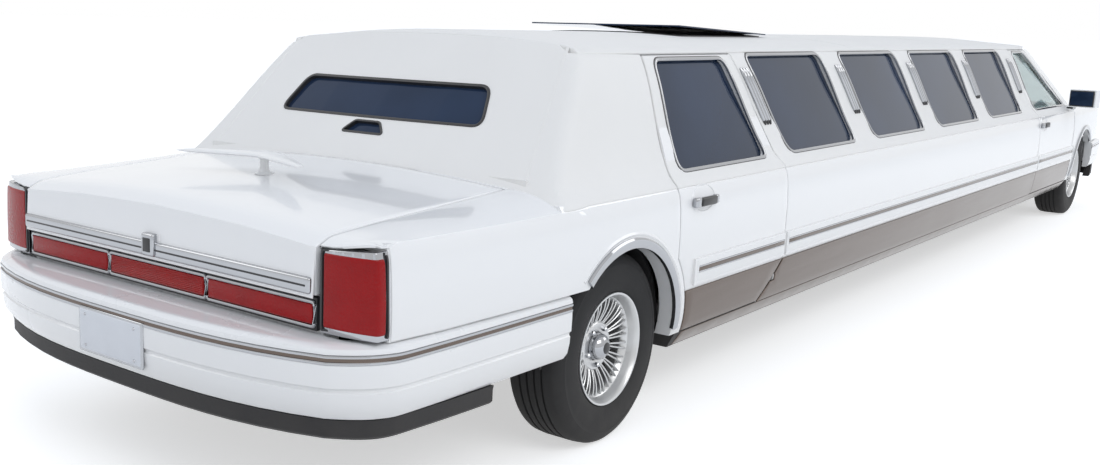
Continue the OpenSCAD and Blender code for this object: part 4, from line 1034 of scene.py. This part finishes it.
# ---- Tail ----
def tail():
    parts = []
    z0, z1 = LAMP_Z
    for s in (1, -1):
        def face(p, s=s):
            t, z = p.T
            y_in, y_out = LAMP_Y + 0.002, side_y(REAR + 0.2 + 0 * z, z)
            w = np.clip(t, 0, 1)
            y = y_in + w * (y_out - y_in) + 0.0 * t
            x = TAIL_X + 0.030 * w ** 2.2 + np.maximum(t - 1, 0) * 0.2
            y = y + np.maximum(t - 1, 0) * 0.02
            return np.c_[x, s * y, z]
        face = averaged(face, 0, 0.05, 5)
        o = (-1, 0.2 * s, 0)
        tall = rounded([[0.02, z0 + 0.006], [1.22, z0 + 0.006], [1.22, z1 - 0.001], [0.02, z1 - 0.013]],
                       0.012)
        parts.append((panel(face, tall, out=o, r=0.004, depth=0.03, off=0.001, step=0.02), chrome))
        for a, b, c, d, m in ((0.10, 1.12, z0 + 0.024, z1 - 0.022, red),):
            parts.append((panel(face, rounded(rect(a, c, b, d), 0.015), out=o, r=0.005, depth=0.03,
                                off=0.006, step=0.015), m))
        parts.append((bead_shape(face, rounded(rect(0.055, z0 + 0.016, 1.17, z1 - 0.014), 0.02),
                                 [(-0.004, -0.002), (-0.003, 0.004), (0.003, 0.004), (0.004, -0.002)],
                                 o, off=0.003), trim))
    piece("tail_lamp_pair", parts, stands_for=("tail_lamps",))
    y1, low, high = LAMP_Y - 0.014, BUMPER_TOP + 0.006, 0.716
    parts = [(brick((TAIL_X + 0.004, -y1, low), (TAIL_X + 0.022, y1, high), 0.004), trim)]
    spans = [(-y1 + 0.010, -0.255), (-0.235, 0.235), (0.255, y1 - 0.010)]
    for k, (a, b) in enumerate(spans):
        lo, hi = low + 0.020, high - 0.020
        parts.append((brick((TAIL_X - 0.006, a, lo), (TAIL_X + 0.010, b, hi), 0.006, 3),
                      red_ribbed if k == 1 else red))
        ring = [(a - 0.006, lo - 0.006), (b + 0.006, lo - 0.006), (b + 0.006, hi + 0.006),
                (a - 0.006, hi + 0.006)]
        ring = refined(rounded(ring, 0.01), 0.05)
        parts.append((tube(np.c_[np.full(len(ring), TAIL_X - 0.001), ring], 0.0055, 8, closed=True),
                      chrome))
    piece("tail_reflector", parts, stands_for=("centre_reflector",))


# ---- Front ----
def front():
    parts = []
    x0, x1, z0, z1 = LAMP_X, LAMP_X + 0.1, BUMPER_TOP - 0.03, 0.85
    for lo, hi in (((x0, -0.31, z1 - 0.03), (x1, 0.31, z1)), ((x0, -0.31, z0), (x1, 0.31, z0 + 0.025)),
                   ((x0, -0.31, z0), (x1, -0.282, z1)), ((x0, 0.282, z0), (x1, 0.31, z1))):
        parts.append((brick(lo, hi, 0.010, 4), chrome))
    parts.append((brick((x0, -0.30, z0 + 0.01), (x0 + 0.02, 0.30, z1 - 0.01), 0.002, 1), trim))
    for y in np.linspace(-0.265, 0.265, 26):
        parts.append((brick((x0 + 0.016, y - 0.004, z0 + 0.02), (x1 - 0.008, y + 0.004, z1 - 0.025),
                            0.003, 2), chrome))
    piece("grille_bars", parts, stands_for=("grille",))
    parts = []
    for s in (1, -1):
        def lo_hi(a, b, c, d, e, f, s=s):
            y = sorted((s * b, s * e))
            return (a, y[0], c), (d, y[1], f)
        zl, zh = BUMPER_TOP + 0.02, 0.79

        def sweep(v):
            v = v.copy()
            v[:, 0] -= 0.05 * np.clip((np.abs(v[:, 1]) - 0.5) / 0.3, 0, 1) ** 2
            return v
        parts += [(brick(*lo_hi(LAMP_X, 0.318, zl, LAMP_X + 0.045, 0.80, zh), 0.012, 4, sweep), chrome),
                  (brick(*lo_hi(LAMP_X + 0.01, 0.330, zl + 0.012, LAMP_X + 0.068, 0.620, zh - 0.012),
                         0.014, 4, sweep), lens),
                  (brick(*lo_hi(LAMP_X + 0.01, 0.632, zl + 0.012, LAMP_X + 0.066, 0.790, zh - 0.012),
                         0.014, 4, sweep), amber)]
    piece("headlamp_pair", parts, stands_for=("headlamps",))


# ---- Wheels ----
def tyre_parts(x, s):
    r, w = HUB_Z, 0.225
    prof = [(0.199, -w / 2 + 0.022), (0.206, -w / 2 + 0.010), (0.217, -w / 2 + 0.0045),
            (0.235, -w / 2 + 0.001), (0.262, -w / 2), (0.288, -w / 2 + 0.001),
            (0.300, -w / 2 + 0.0035), (0.303, -w / 2 + 0.0025), (0.318, -w / 2 + 0.0075),
            (0.331, -w / 2 + 0.0150), (0.340, -w / 2 + 0.0240), (0.3445, -w / 2 + 0.0330)]
    tread = []
    for y in (-0.045, -0.015, 0.015, 0.045):
        tread += [(0.3478, y - 0.0045), (0.3405, y - 0.0032), (0.3405, y + 0.0032), (0.3478, y + 0.0045)]
    half = prof + tread + [(a, -b) for a, b in reversed(prof)]
    c = (x, s * 0.8, HUB_Z)
    parts = [(turned(half, c, (0, s, 0), 144), rubber)]
    blocks = []
    for a in np.linspace(0, 2 * math.pi, 72, endpoint=False):
        for side in (-1, 1):
            b = brick((-0.006, 0.058, -0.004), (0.006, 0.080, 0.001), 0.0012, 1)
            v = b[0] * [1, side, 1] + [0, 0, 0.3452]
            v[:, 2] -= np.clip(np.abs(v[:, 1]) - 0.066, 0, 1) * 0.32
            m = np.array(Matrix.Rotation(a, 3, "Y"))
            blocks.append((v @ m.T + c, b[1]))
    parts += [(b, rubber) for b in blocks]
    return parts


def rim_parts(x, s):
    """Alloy wheel: barrel, thin paired spokes, lug ring and domed cap. s is the outer side."""
    c = np.array((x, s * 0.8, HUB_Z))
    ax = (0, s, 0)
    w = 0.225 / 2
    barrel = [(0.199, -w + 0.022), (0.203, -w + 0.012), (0.2035, -w + 0.008), (0.196, -w + 0.008),
              (0.190, -w + 0.016), (0.184, -w + 0.030), (0.170, -0.03), (0.170, 0.03),
              (0.184, w - 0.036), (0.188, w - 0.024), (0.192, w - 0.011), (0.1965, w - 0.0055),
              (0.2035, w - 0.005), (0.2045, w - 0.010), (0.199, w - 0.022), (0.1975, w - 0.022),
              (0.186, 0.03), (0.186, -0.03)]
    parts = [(turned(barrel, c, ax, 120), alloy)]
    ring = [(0.166, 0.046), (0.172, 0.062), (0.182, 0.070), (0.190, 0.078), (0.192, 0.060), (0.180, 0.044)]
    parts.append((turned(ring, c, ax, 120), alloy))
    hub = [(0.0222, -0.050), (0.0222, 0.036), (0.050, 0.040), (0.052, 0.046), (0.058, 0.050),
           (0.084, 0.050), (0.092, 0.044), (0.094, 0.034), (0.088, -0.010), (0.060, -0.046)]
    parts.append((turned(hub, c, ax, 96), alloy))
    cap = [(0.0001, 0.092), (0.012, 0.0915), (0.024, 0.089), (0.034, 0.084), (0.042, 0.076),
           (0.047, 0.066), (0.049, 0.052), (0.049, 0.040), (0.0001, 0.040)]
    parts.append((turned(cap, c, ax, 72, False), chrome))
    parts.append((turned([(0.0001, 0.0935), (0.016, 0.0925), (0.021, 0.0905), (0.0212, 0.086),
                          (0.0001, 0.086)], c, ax, 48, False), trim))
    basis = np.array([[0, 0, 1.0], [0, s, 0], [1.0 * s, 0, 0]])
    for k in range(20):
        for d in (-0.5, 0.5):
            a = 2 * math.pi * k / 20
            n = 8
            t = np.linspace(0, 1, n)
            r = 0.085 + 0.092 * t
            lat = d * (0.0095 + 0.0065 * t) * 2
            out = 0.046 + 0.018 * np.sin(math.pi * t * 0.62) + 0.006 * t
            half_w, thick = 0.0034 - 0.0004 * t, 0.012
            lines = []
            for u, o in ((-1, -thick), (-1, -0.0015), (-0.4, 0.0005), (0.4, 0.0005), (1, -0.0015), (1, -thick)):
                local = np.c_[r, out + o, lat + u * half_w]
                rot = np.array(Matrix.Rotation(a, 3, "Y"))
                world = np.c_[local[:, 2], local[:, 1] * s, local[:, 0]] @ rot.T
                lines.append(world + c)
            parts.append((rings_shape(lines, False, True), alloy))
    for k in range(5):
        a = 2 * math.pi * (k + 0.5) / 5
        at = c + [0.069 * math.sin(a), 0, 0.069 * math.cos(a)]
        parts.append((turned([(0.0001, 0.064), (0.006, 0.0635), (0.0095, 0.060), (0.0100, 0.046),
                              (0.0001, 0.046)], at, ax, 6, False), chrome))
    parts.append((turned([(0.186, -0.02), (0.1705, -0.02), (0.100, -0.030), (0.1, -0.034),
                          (0.172, -0.026), (0.186, -0.026)], c, ax, 72), iron))
    return parts


def wheels():
    for end, x in (("rear", RW), ("front", FW)):
        for s in (1, -1):
            body = f"{end}_wheel_{side_name(s)}"
            piece(f"{end}_tyre_{side_name(s)}_fine", tyre_parts(x, s), body,
                  (f"{end}_tyre_{side_name(s)}",))
            piece(f"{end}_wheel_{side_name(s)}_fine", rim_parts(x, s), body,
                  (f"{end}_rim_{side_name(s)}",))


# ---- Cabin ----
def cushion(lo, hi, r, crown, channels, axis):
    """Crowned cushion with rounded edges, and sewn channels across one direction."""
    lo, hi = np.array(lo, float), np.array(hi, float)
    half = (hi - lo) / 2 - crown
    r = min(r, half.min() * 0.9)
    seam = 0.012
    places = []
    for k in range(3):
        flat = half[k] - r
        line = list(np.linspace(-flat, flat, 7))
        if k == axis:
            width = 2 * half[k] / channels
            for n in range(1, channels):
                line += [n * width - half[k] + d for d in (-width / 2, -seam, 0, seam)]
            line = [q for q in line if abs(q) <= flat + 1e-9]
        line += [side * (flat + r * t) for t in (0.4, 0.75, 1) for side in (-1, 1)]
        places.append(np.unique(np.round(line, 6)))
    index, verts, faces = {}, [], []
    counts = [len(q) for q in places]

    def corner(at):
        if at not in index:
            index[at] = len(verts)
            verts.append([places[k][at[k]] for k in range(3)])
        return index[at]
    for k in range(3):
        a, b = (k + 1) % 3, (k + 2) % 3
        for end in (0, counts[k] - 1):
            for i in range(counts[a] - 1):
                for j in range(counts[b] - 1):
                    quad = []
                    for di, dj in ((0, 0), (1, 0), (1, 1), (0, 1)):
                        at = [0, 0, 0]
                        at[k], at[a], at[b] = end, i + di, j + dj
                        quad.append(corner(tuple(at)))
                    faces.append(quad if end else quad[::-1])
    v = np.array(verts)
    u = v / half
    face = np.abs(u) > 0.999
    core = np.clip(v, r - half, half - r)
    p = core + (v - core) * r / np.linalg.norm(v - core, axis=1)[:, None]
    left = np.clip(1 - u ** 2, 0, 1)
    dome = np.stack([left[:, 1] * left[:, 2], left[:, 0] * left[:, 2], left[:, 0] * left[:, 1]], 1)
    p += np.sign(v) * face * dome * crown
    along = (u[:, axis] + 1) / 2 * channels
    near = np.round(along)
    groove = np.exp(-((along - near) * 2 * half[axis] / channels / seam) ** 2)
    groove *= (near > 0) & (near < channels)
    p -= np.sign(v) * face * (groove * 0.009)[:, None] * (np.arange(3) != axis)
    return p + (lo + hi) / 2, faces


def seat_piece(name, pads, node):
    o = piece(name, [(cushion(*pad), leather) for pad in pads], stands_for=(node,) if node else (),
              angle=80)
    m = o.modifiers.new("smooth", "SUBSURF")
    m.levels = m.render_levels = 1


def cabin():
    fire = FW - 0.56
    pads = []
    for s in (1, -1):
        y = sorted((s * 0.07, s * 0.69))
        x = fire - 0.48
        base, top = 0.346, 0.646
        pads += [((x - 0.515, y[0], base + 0.15), (x - 0.005, y[1], top), 0.05, 0.018, 4, 1),
                 ((x - 0.51, y[0] + 0.01, base + 0.002), (x - 0.01, y[1] - 0.01, base + 0.15), 0.02,
                  0.004, 1, 0),
                 ((x - 0.637, y[0] + 0.01, base + 0.20), (x - 0.523, y[1] - 0.01, base + 0.78), 0.05,
                  0.014, 4, 1)]
    seat_piece("front_seat_cushions", pads, "front_seats")
    k0, k1 = RW + 0.332, RW + 0.632
    step = (0.93 - 0.02) / 3
    pads = [((k0 - 0.127, -0.62, 0.60), (k0 - 0.003, 0.62, 1.078), 0.04, 0.016, 8, 1),
            ((k0 + 0.002, -0.62, 0.553), (k1 + 0.228, 0.62, 0.639), 0.04, 0.014, 8, 1),
            ((RD1 + 0.305, 0.305, 0.470), (2.181, 0.687, 0.629), 0.04, 0.016, 24, 0),
            ((RD1 + 0.305, 0.693, 0.52), (2.181, 0.788, 0.873), 0.03, 0.010, 24, 0)]
    seat_piece("lounge_cushions", pads, "lounge_seats")
    bases = [(brick((k1 + 0.002, -0.615, 0.348), (k1 + 0.222, 0.615, 0.552), 0.012), leather),
             (brick((k0 + 0.01, -0.61, 0.553), (k1 + 0.1, 0.61, 0.575), 0.01), leather),
             (brick((RD1 + 0.31, 0.315, 0.348), (2.176, 0.685, 0.469), 0.012), leather),
             (brick((RD1 + 0.31, 0.70, 0.348), (2.176, 0.785, 0.519), 0.012), leather)]
    piece("lounge_bases", bases)
    # bar: top, doors with handles, and glasses on the top
    x0, x1, y0, y1, z0, z1 = RD1 + 0.6, RD1 + 2.6, -0.78, -0.42, 0.346, 0.83
    parts = [(brick((x0, y0, z1 - 0.03), (x1, y1, z1), 0.010, 4), wood),
             (brick((x0 + 0.01, y0 + 0.01, z0), (x1 - 0.01, y1 - 0.025, z1 - 0.03), 0.006), wood)]
    for k in range(5):
        a = x0 + 0.03 + k * 0.39
        parts.append((brick((a, y1 - 0.026, z0 + 0.04), (a + 0.37, y1 - 0.008, z1 - 0.06), 0.006, 3), wood))
        parts.append((tube([[a + 0.15, y1 - 0.006, 0.72], [a + 0.22, y1 - 0.006, 0.72]], 0.005, 8), chrome))
    for k in range(7):
        c = (x0 + 0.2 + 0.24 * k, y0 + 0.2, z1 - 0.0005)
        prof = [(0.0001, 0), (0.030, 0), (0.031, 0.004), (0.004, 0.008), (0.0035, 0.07), (0.020, 0.09),
                (0.032, 0.12), (0.034, 0.155), (0.0325, 0.155), (0.029, 0.12), (0.0001, 0.086)]
        parts.append((turned(prof, c, (0, 0, 1), 24, False), clear))
    piece("bar_with_glasses", parts, stands_for=("bar_cabinet",))
    # dashboard with cluster, vents and glove box line
    d0, d1 = fire - 0.26, fire - 0.0005

    def slope(v):
        v = v.copy()
        v[:, 0] += 0.07 * np.clip((0.76 - v[:, 2]) / 0.12, 0, 1) * (v[:, 0] < d0 + 0.1)
        v[:, 2] -= 0.02 * (v[:, 1] / 0.7) ** 2
        return v
    shell = brick((d0, -0.70, 0.64), (d1, 0.70, 0.878), 0.03, 5, slope)
    parts = [(shell, dash),
             (brick((d0 - 0.002, 0.20, 0.775), (d0 + 0.05, 0.54, 0.858), 0.012, 4), trim),
             (brick((d0 - 0.003, -0.13, 0.70), (d0 + 0.06, 0.13, 0.85), 0.008, 3), trim),
             (brick((d0 + 0.002, -0.60, 0.70), (d0 + 0.06, -0.18, 0.80), 0.01, 3), wood)]
    for y in (-0.62, -0.07, 0.07, 0.62):
        for k in range(4):
            parts.append((brick((d0 - 0.006, y - 0.045, 0.815 + 0.009 * k),
                                (d0 + 0.004, y + 0.045, 0.819 + 0.009 * k), 0.0015, 1), chrome))
    for y in (0.30, 0.44):
        parts.append((turned([(0.0001, 0), (0.036, 0), (0.038, 0.004), (0.0405, 0.004), (0.041, -0.004)],
                             (d0 - 0.003, y, 0.815), (-1, 0, 0), 32, False), chrome))
    piece("dashboard_fine", parts, stands_for=("dashboard",))
    # steering wheel in its own tilted frame
    turn = np.array(Matrix.Rotation(math.radians(115), 3, "Y"))
    at = np.array([fire - 0.38, 0.37, 0.80])

    def put(shape):
        return shape[0] @ turn.T + at, shape[1]
    a = np.linspace(0, 2 * math.pi, 64, endpoint=False)
    wob = 1 + 0.05 * np.cos(24 * a)
    parts = [(put(tube(np.c_[0.185 * np.cos(a), 0.185 * np.sin(a), 0 * a], 0.0132 * wob, 14, True)), leather),
             (put(turned([(0.0001, -0.014), (0.040, -0.013), (0.060, -0.006), (0.063, 0.004),
                          (0.055, 0.012), (0.0001, 0.014)], (0, 0, 0), (0, 0, 1), 40, False)), dash),
             (put(turned([(0.022, 0.01), (0.024, 0.05), (0.026, 0.119), (0.0001, 0.1205)], (0, 0, 0),
                         (0, 0, 1), 32, False)), trim)]
    for k in (0, 90, 180, 270):
        spoke = brick((0.045, -0.013, -0.006), (0.178, 0.013, 0.005), 0.005, 3, None,
                      (k, "Z", np.zeros(3)))
        parts.append((put(spoke), dash))
    piece("steering_wheel_fine", parts, stands_for=("steering_wheel",))


def antenna():
    """Boomerang aerial: thin curved wing on a stalk."""
    x, z = REAR + 0.64, float(deck_z(np.array([REAR + 0.64]), 0.0)[0])
    y = np.linspace(-0.298, 0.298, 60)
    t = np.abs(y) / 0.298
    front, rear = 0.060 - 0.17 * t ** 1.25, -0.045 - 0.098 * t ** 1.1
    mid, half = (front + rear) / 2, np.maximum((front - rear) / 2, 0.004)
    thick = 0.0085 * np.sqrt(np.clip(1 - t ** 6, 0.03, 1))
    lines = []
    for ang in np.linspace(0, 2 * math.pi, 18, endpoint=False):
        c, s_ = math.cos(ang), math.sin(ang)
        lines.append(np.c_[x + mid + half * np.sign(c) * abs(c) ** 0.8, y, z + 0.0675 + thick * s_])
    parts = [(rings_shape(lines, False, True), white_plastic),
             (turned([(0.0001, 0.002), (0.034, 0.0025), (0.033, 0.006), (0.020, 0.012), (0.015, 0.03),
                      (0.017, 0.055), (0.024, 0.0605), (0.0001, 0.061)], (x, 0, z), (0, 0, 1), 40, False),
              white_plastic)]
    piece("tv_boomerang", parts, "trunk_lid_body", ("tv_antenna",))


for side in (1, -1):
    quarter(side)
    for which in ("rear", "front"):
        door(side, which)
    fender(side)
bar_parts = stretch(1) + stretch(-1)
piece("pillar_bar_set", bar_parts, stands_for=("pillar_bars",))
roof_pieces()
lids()
bumpers()
tail()
front()
wheels()
cabin()
antenna()


# ---- Stage: floor, light and camera ----
def seen(nt):
    """1 for rays from the camera, from reflections and through glass, else 0."""
    path = nt.nodes.new("ShaderNodeLightPath")
    out = path.outputs["Is Camera Ray"]
    for kind in ("Is Glossy Ray", "Is Transmission Ray"):
        top = nt.nodes.new("ShaderNodeMath")
        top.operation = "MAXIMUM"
        nt.links.new(out, top.inputs[0])
        nt.links.new(path.outputs[kind], top.inputs[1])
        out = top.outputs[0]
    return out


def glow_material(name, color, rough, shine):
    """Pale surface that the camera, reflections and glass see as background."""
    m = bpy.data.materials.new(name)
    m.use_nodes = True
    nt = m.node_tree
    b = nt.nodes["Principled BSDF"]
    b.inputs["Base Color"].default_value = (*color, 1)
    b.inputs["Roughness"].default_value = rough
    b.inputs["Emission Color"].default_value = (1, 1, 1, 1)
    lift = nt.nodes.new("ShaderNodeMath")
    lift.operation = "MULTIPLY"
    lift.inputs[1].default_value = shine
    nt.links.new(seen(nt), lift.inputs[0])
    nt.links.new(lift.outputs[0], b.inputs["Emission Strength"])
    return m


def stage():
    bm = bmesh.new()
    bmesh.ops.create_grid(bm, x_segments=8, y_segments=8, size=400)
    mesh = bpy.data.meshes.new("floor")
    bm.to_mesh(mesh)
    bm.free()
    floor = bpy.data.objects.new("floor", mesh)
    bpy.context.scene.collection.objects.link(floor)
    mesh.materials.append(glow_material("floor_pale", (0.78, 0.78, 0.77), 0.9, 0.55))
    world = bpy.data.worlds.new("studio")
    bpy.context.scene.world = world
    world.use_nodes = True
    nt = world.node_tree
    n, link = nt.nodes, nt.links.new
    background = n["Background"]
    co = n.new("ShaderNodeTexCoord")
    sep = n.new("ShaderNodeSeparateXYZ")
    link(co.outputs["Generated"], sep.inputs[0])
    ramp = n.new("ShaderNodeValToRGB")
    e = ramp.color_ramp.elements
    e[0].position, e[0].color = 0.46, (0.42, 0.40, 0.385, 1)
    e[1].position, e[1].color = 0.80, (0.62, 0.68, 0.78, 1)
    for pos, col in ((0.50, (0.55, 0.545, 0.54, 1)), (0.53, (0.85, 0.86, 0.88, 1))):
        k = e.new(pos)
        k.color = col
    level = n.new("ShaderNodeMapRange")
    level.inputs["From Min"].default_value, level.inputs["From Max"].default_value = -1, 1
    link(sep.outputs["Z"], level.inputs["Value"])
    link(level.outputs[0], ramp.inputs[0])
    mix = n.new("ShaderNodeMix")
    mix.data_type = "RGBA"
    mix.inputs[7].default_value = (1 / 0.88, 1 / 0.88, 1 / 0.88, 1)
    link(seen(nt), mix.inputs[0])
    link(ramp.outputs[0], mix.inputs[6])
    link(mix.outputs[2], background.inputs["Color"])
    background.inputs["Strength"].default_value = 0.88
    for name, at, aim, size, watts in (
            ("key", (-7, -9, 9), (-1, 0, 0.6), (9, 5), 420),
            ("fill", (-9, 7, 7), (-3, 0, 0.6), (6, 5), 130),
            ("far", (8, -8, 8), (3, 0, 0.6), (8, 5), 220)):
        lamp = bpy.data.lights.new(name, "AREA")
        lamp.shape, lamp.size, lamp.size_y, lamp.energy = "RECTANGLE", *size, watts
        o = bpy.data.objects.new(name, lamp)
        o.location = at
        o.rotation_euler = (Vector(aim) - Vector(at)).to_track_quat("-Z", "Y").to_euler()
        bpy.context.scene.collection.objects.link(o)


IMAGE_W, IMAGE_H = 1100, 465


def camera():
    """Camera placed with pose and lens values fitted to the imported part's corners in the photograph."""
    at, yaw, pitch, roll = (-7.1046, -2.883, 1.4745), 0.7157, -0.182, 0.0237
    focal_px, centre_px = 1152.0, 385.0
    f = np.array([math.cos(yaw) * math.cos(pitch), math.sin(yaw) * math.cos(pitch), math.sin(pitch)])
    r = np.array([math.sin(yaw), -math.cos(yaw), 0])
    u = np.cross(r, f)
    r2, u2 = math.cos(roll) * r + math.sin(roll) * u, -math.sin(roll) * r + math.cos(roll) * u
    data = bpy.data.cameras.new("camera")
    data.sensor_width = 36
    data.lens = focal_px / IMAGE_W * 36
    data.shift_x = (IMAGE_W / 2 - centre_px) / IMAGE_W
    data.clip_end = 500
    o = bpy.data.objects.new("camera", data)
    bpy.context.scene.collection.objects.link(o)
    m = Matrix.Identity(4)
    for k, v in enumerate((r2, u2, -f)):
        for i in range(3):
            m[i][k] = v[i]
    m.translation = at
    o.matrix_world = m
    bpy.context.scene.camera = o


stage()
camera()
bpy.context.scene.view_settings.view_transform = "Standard"
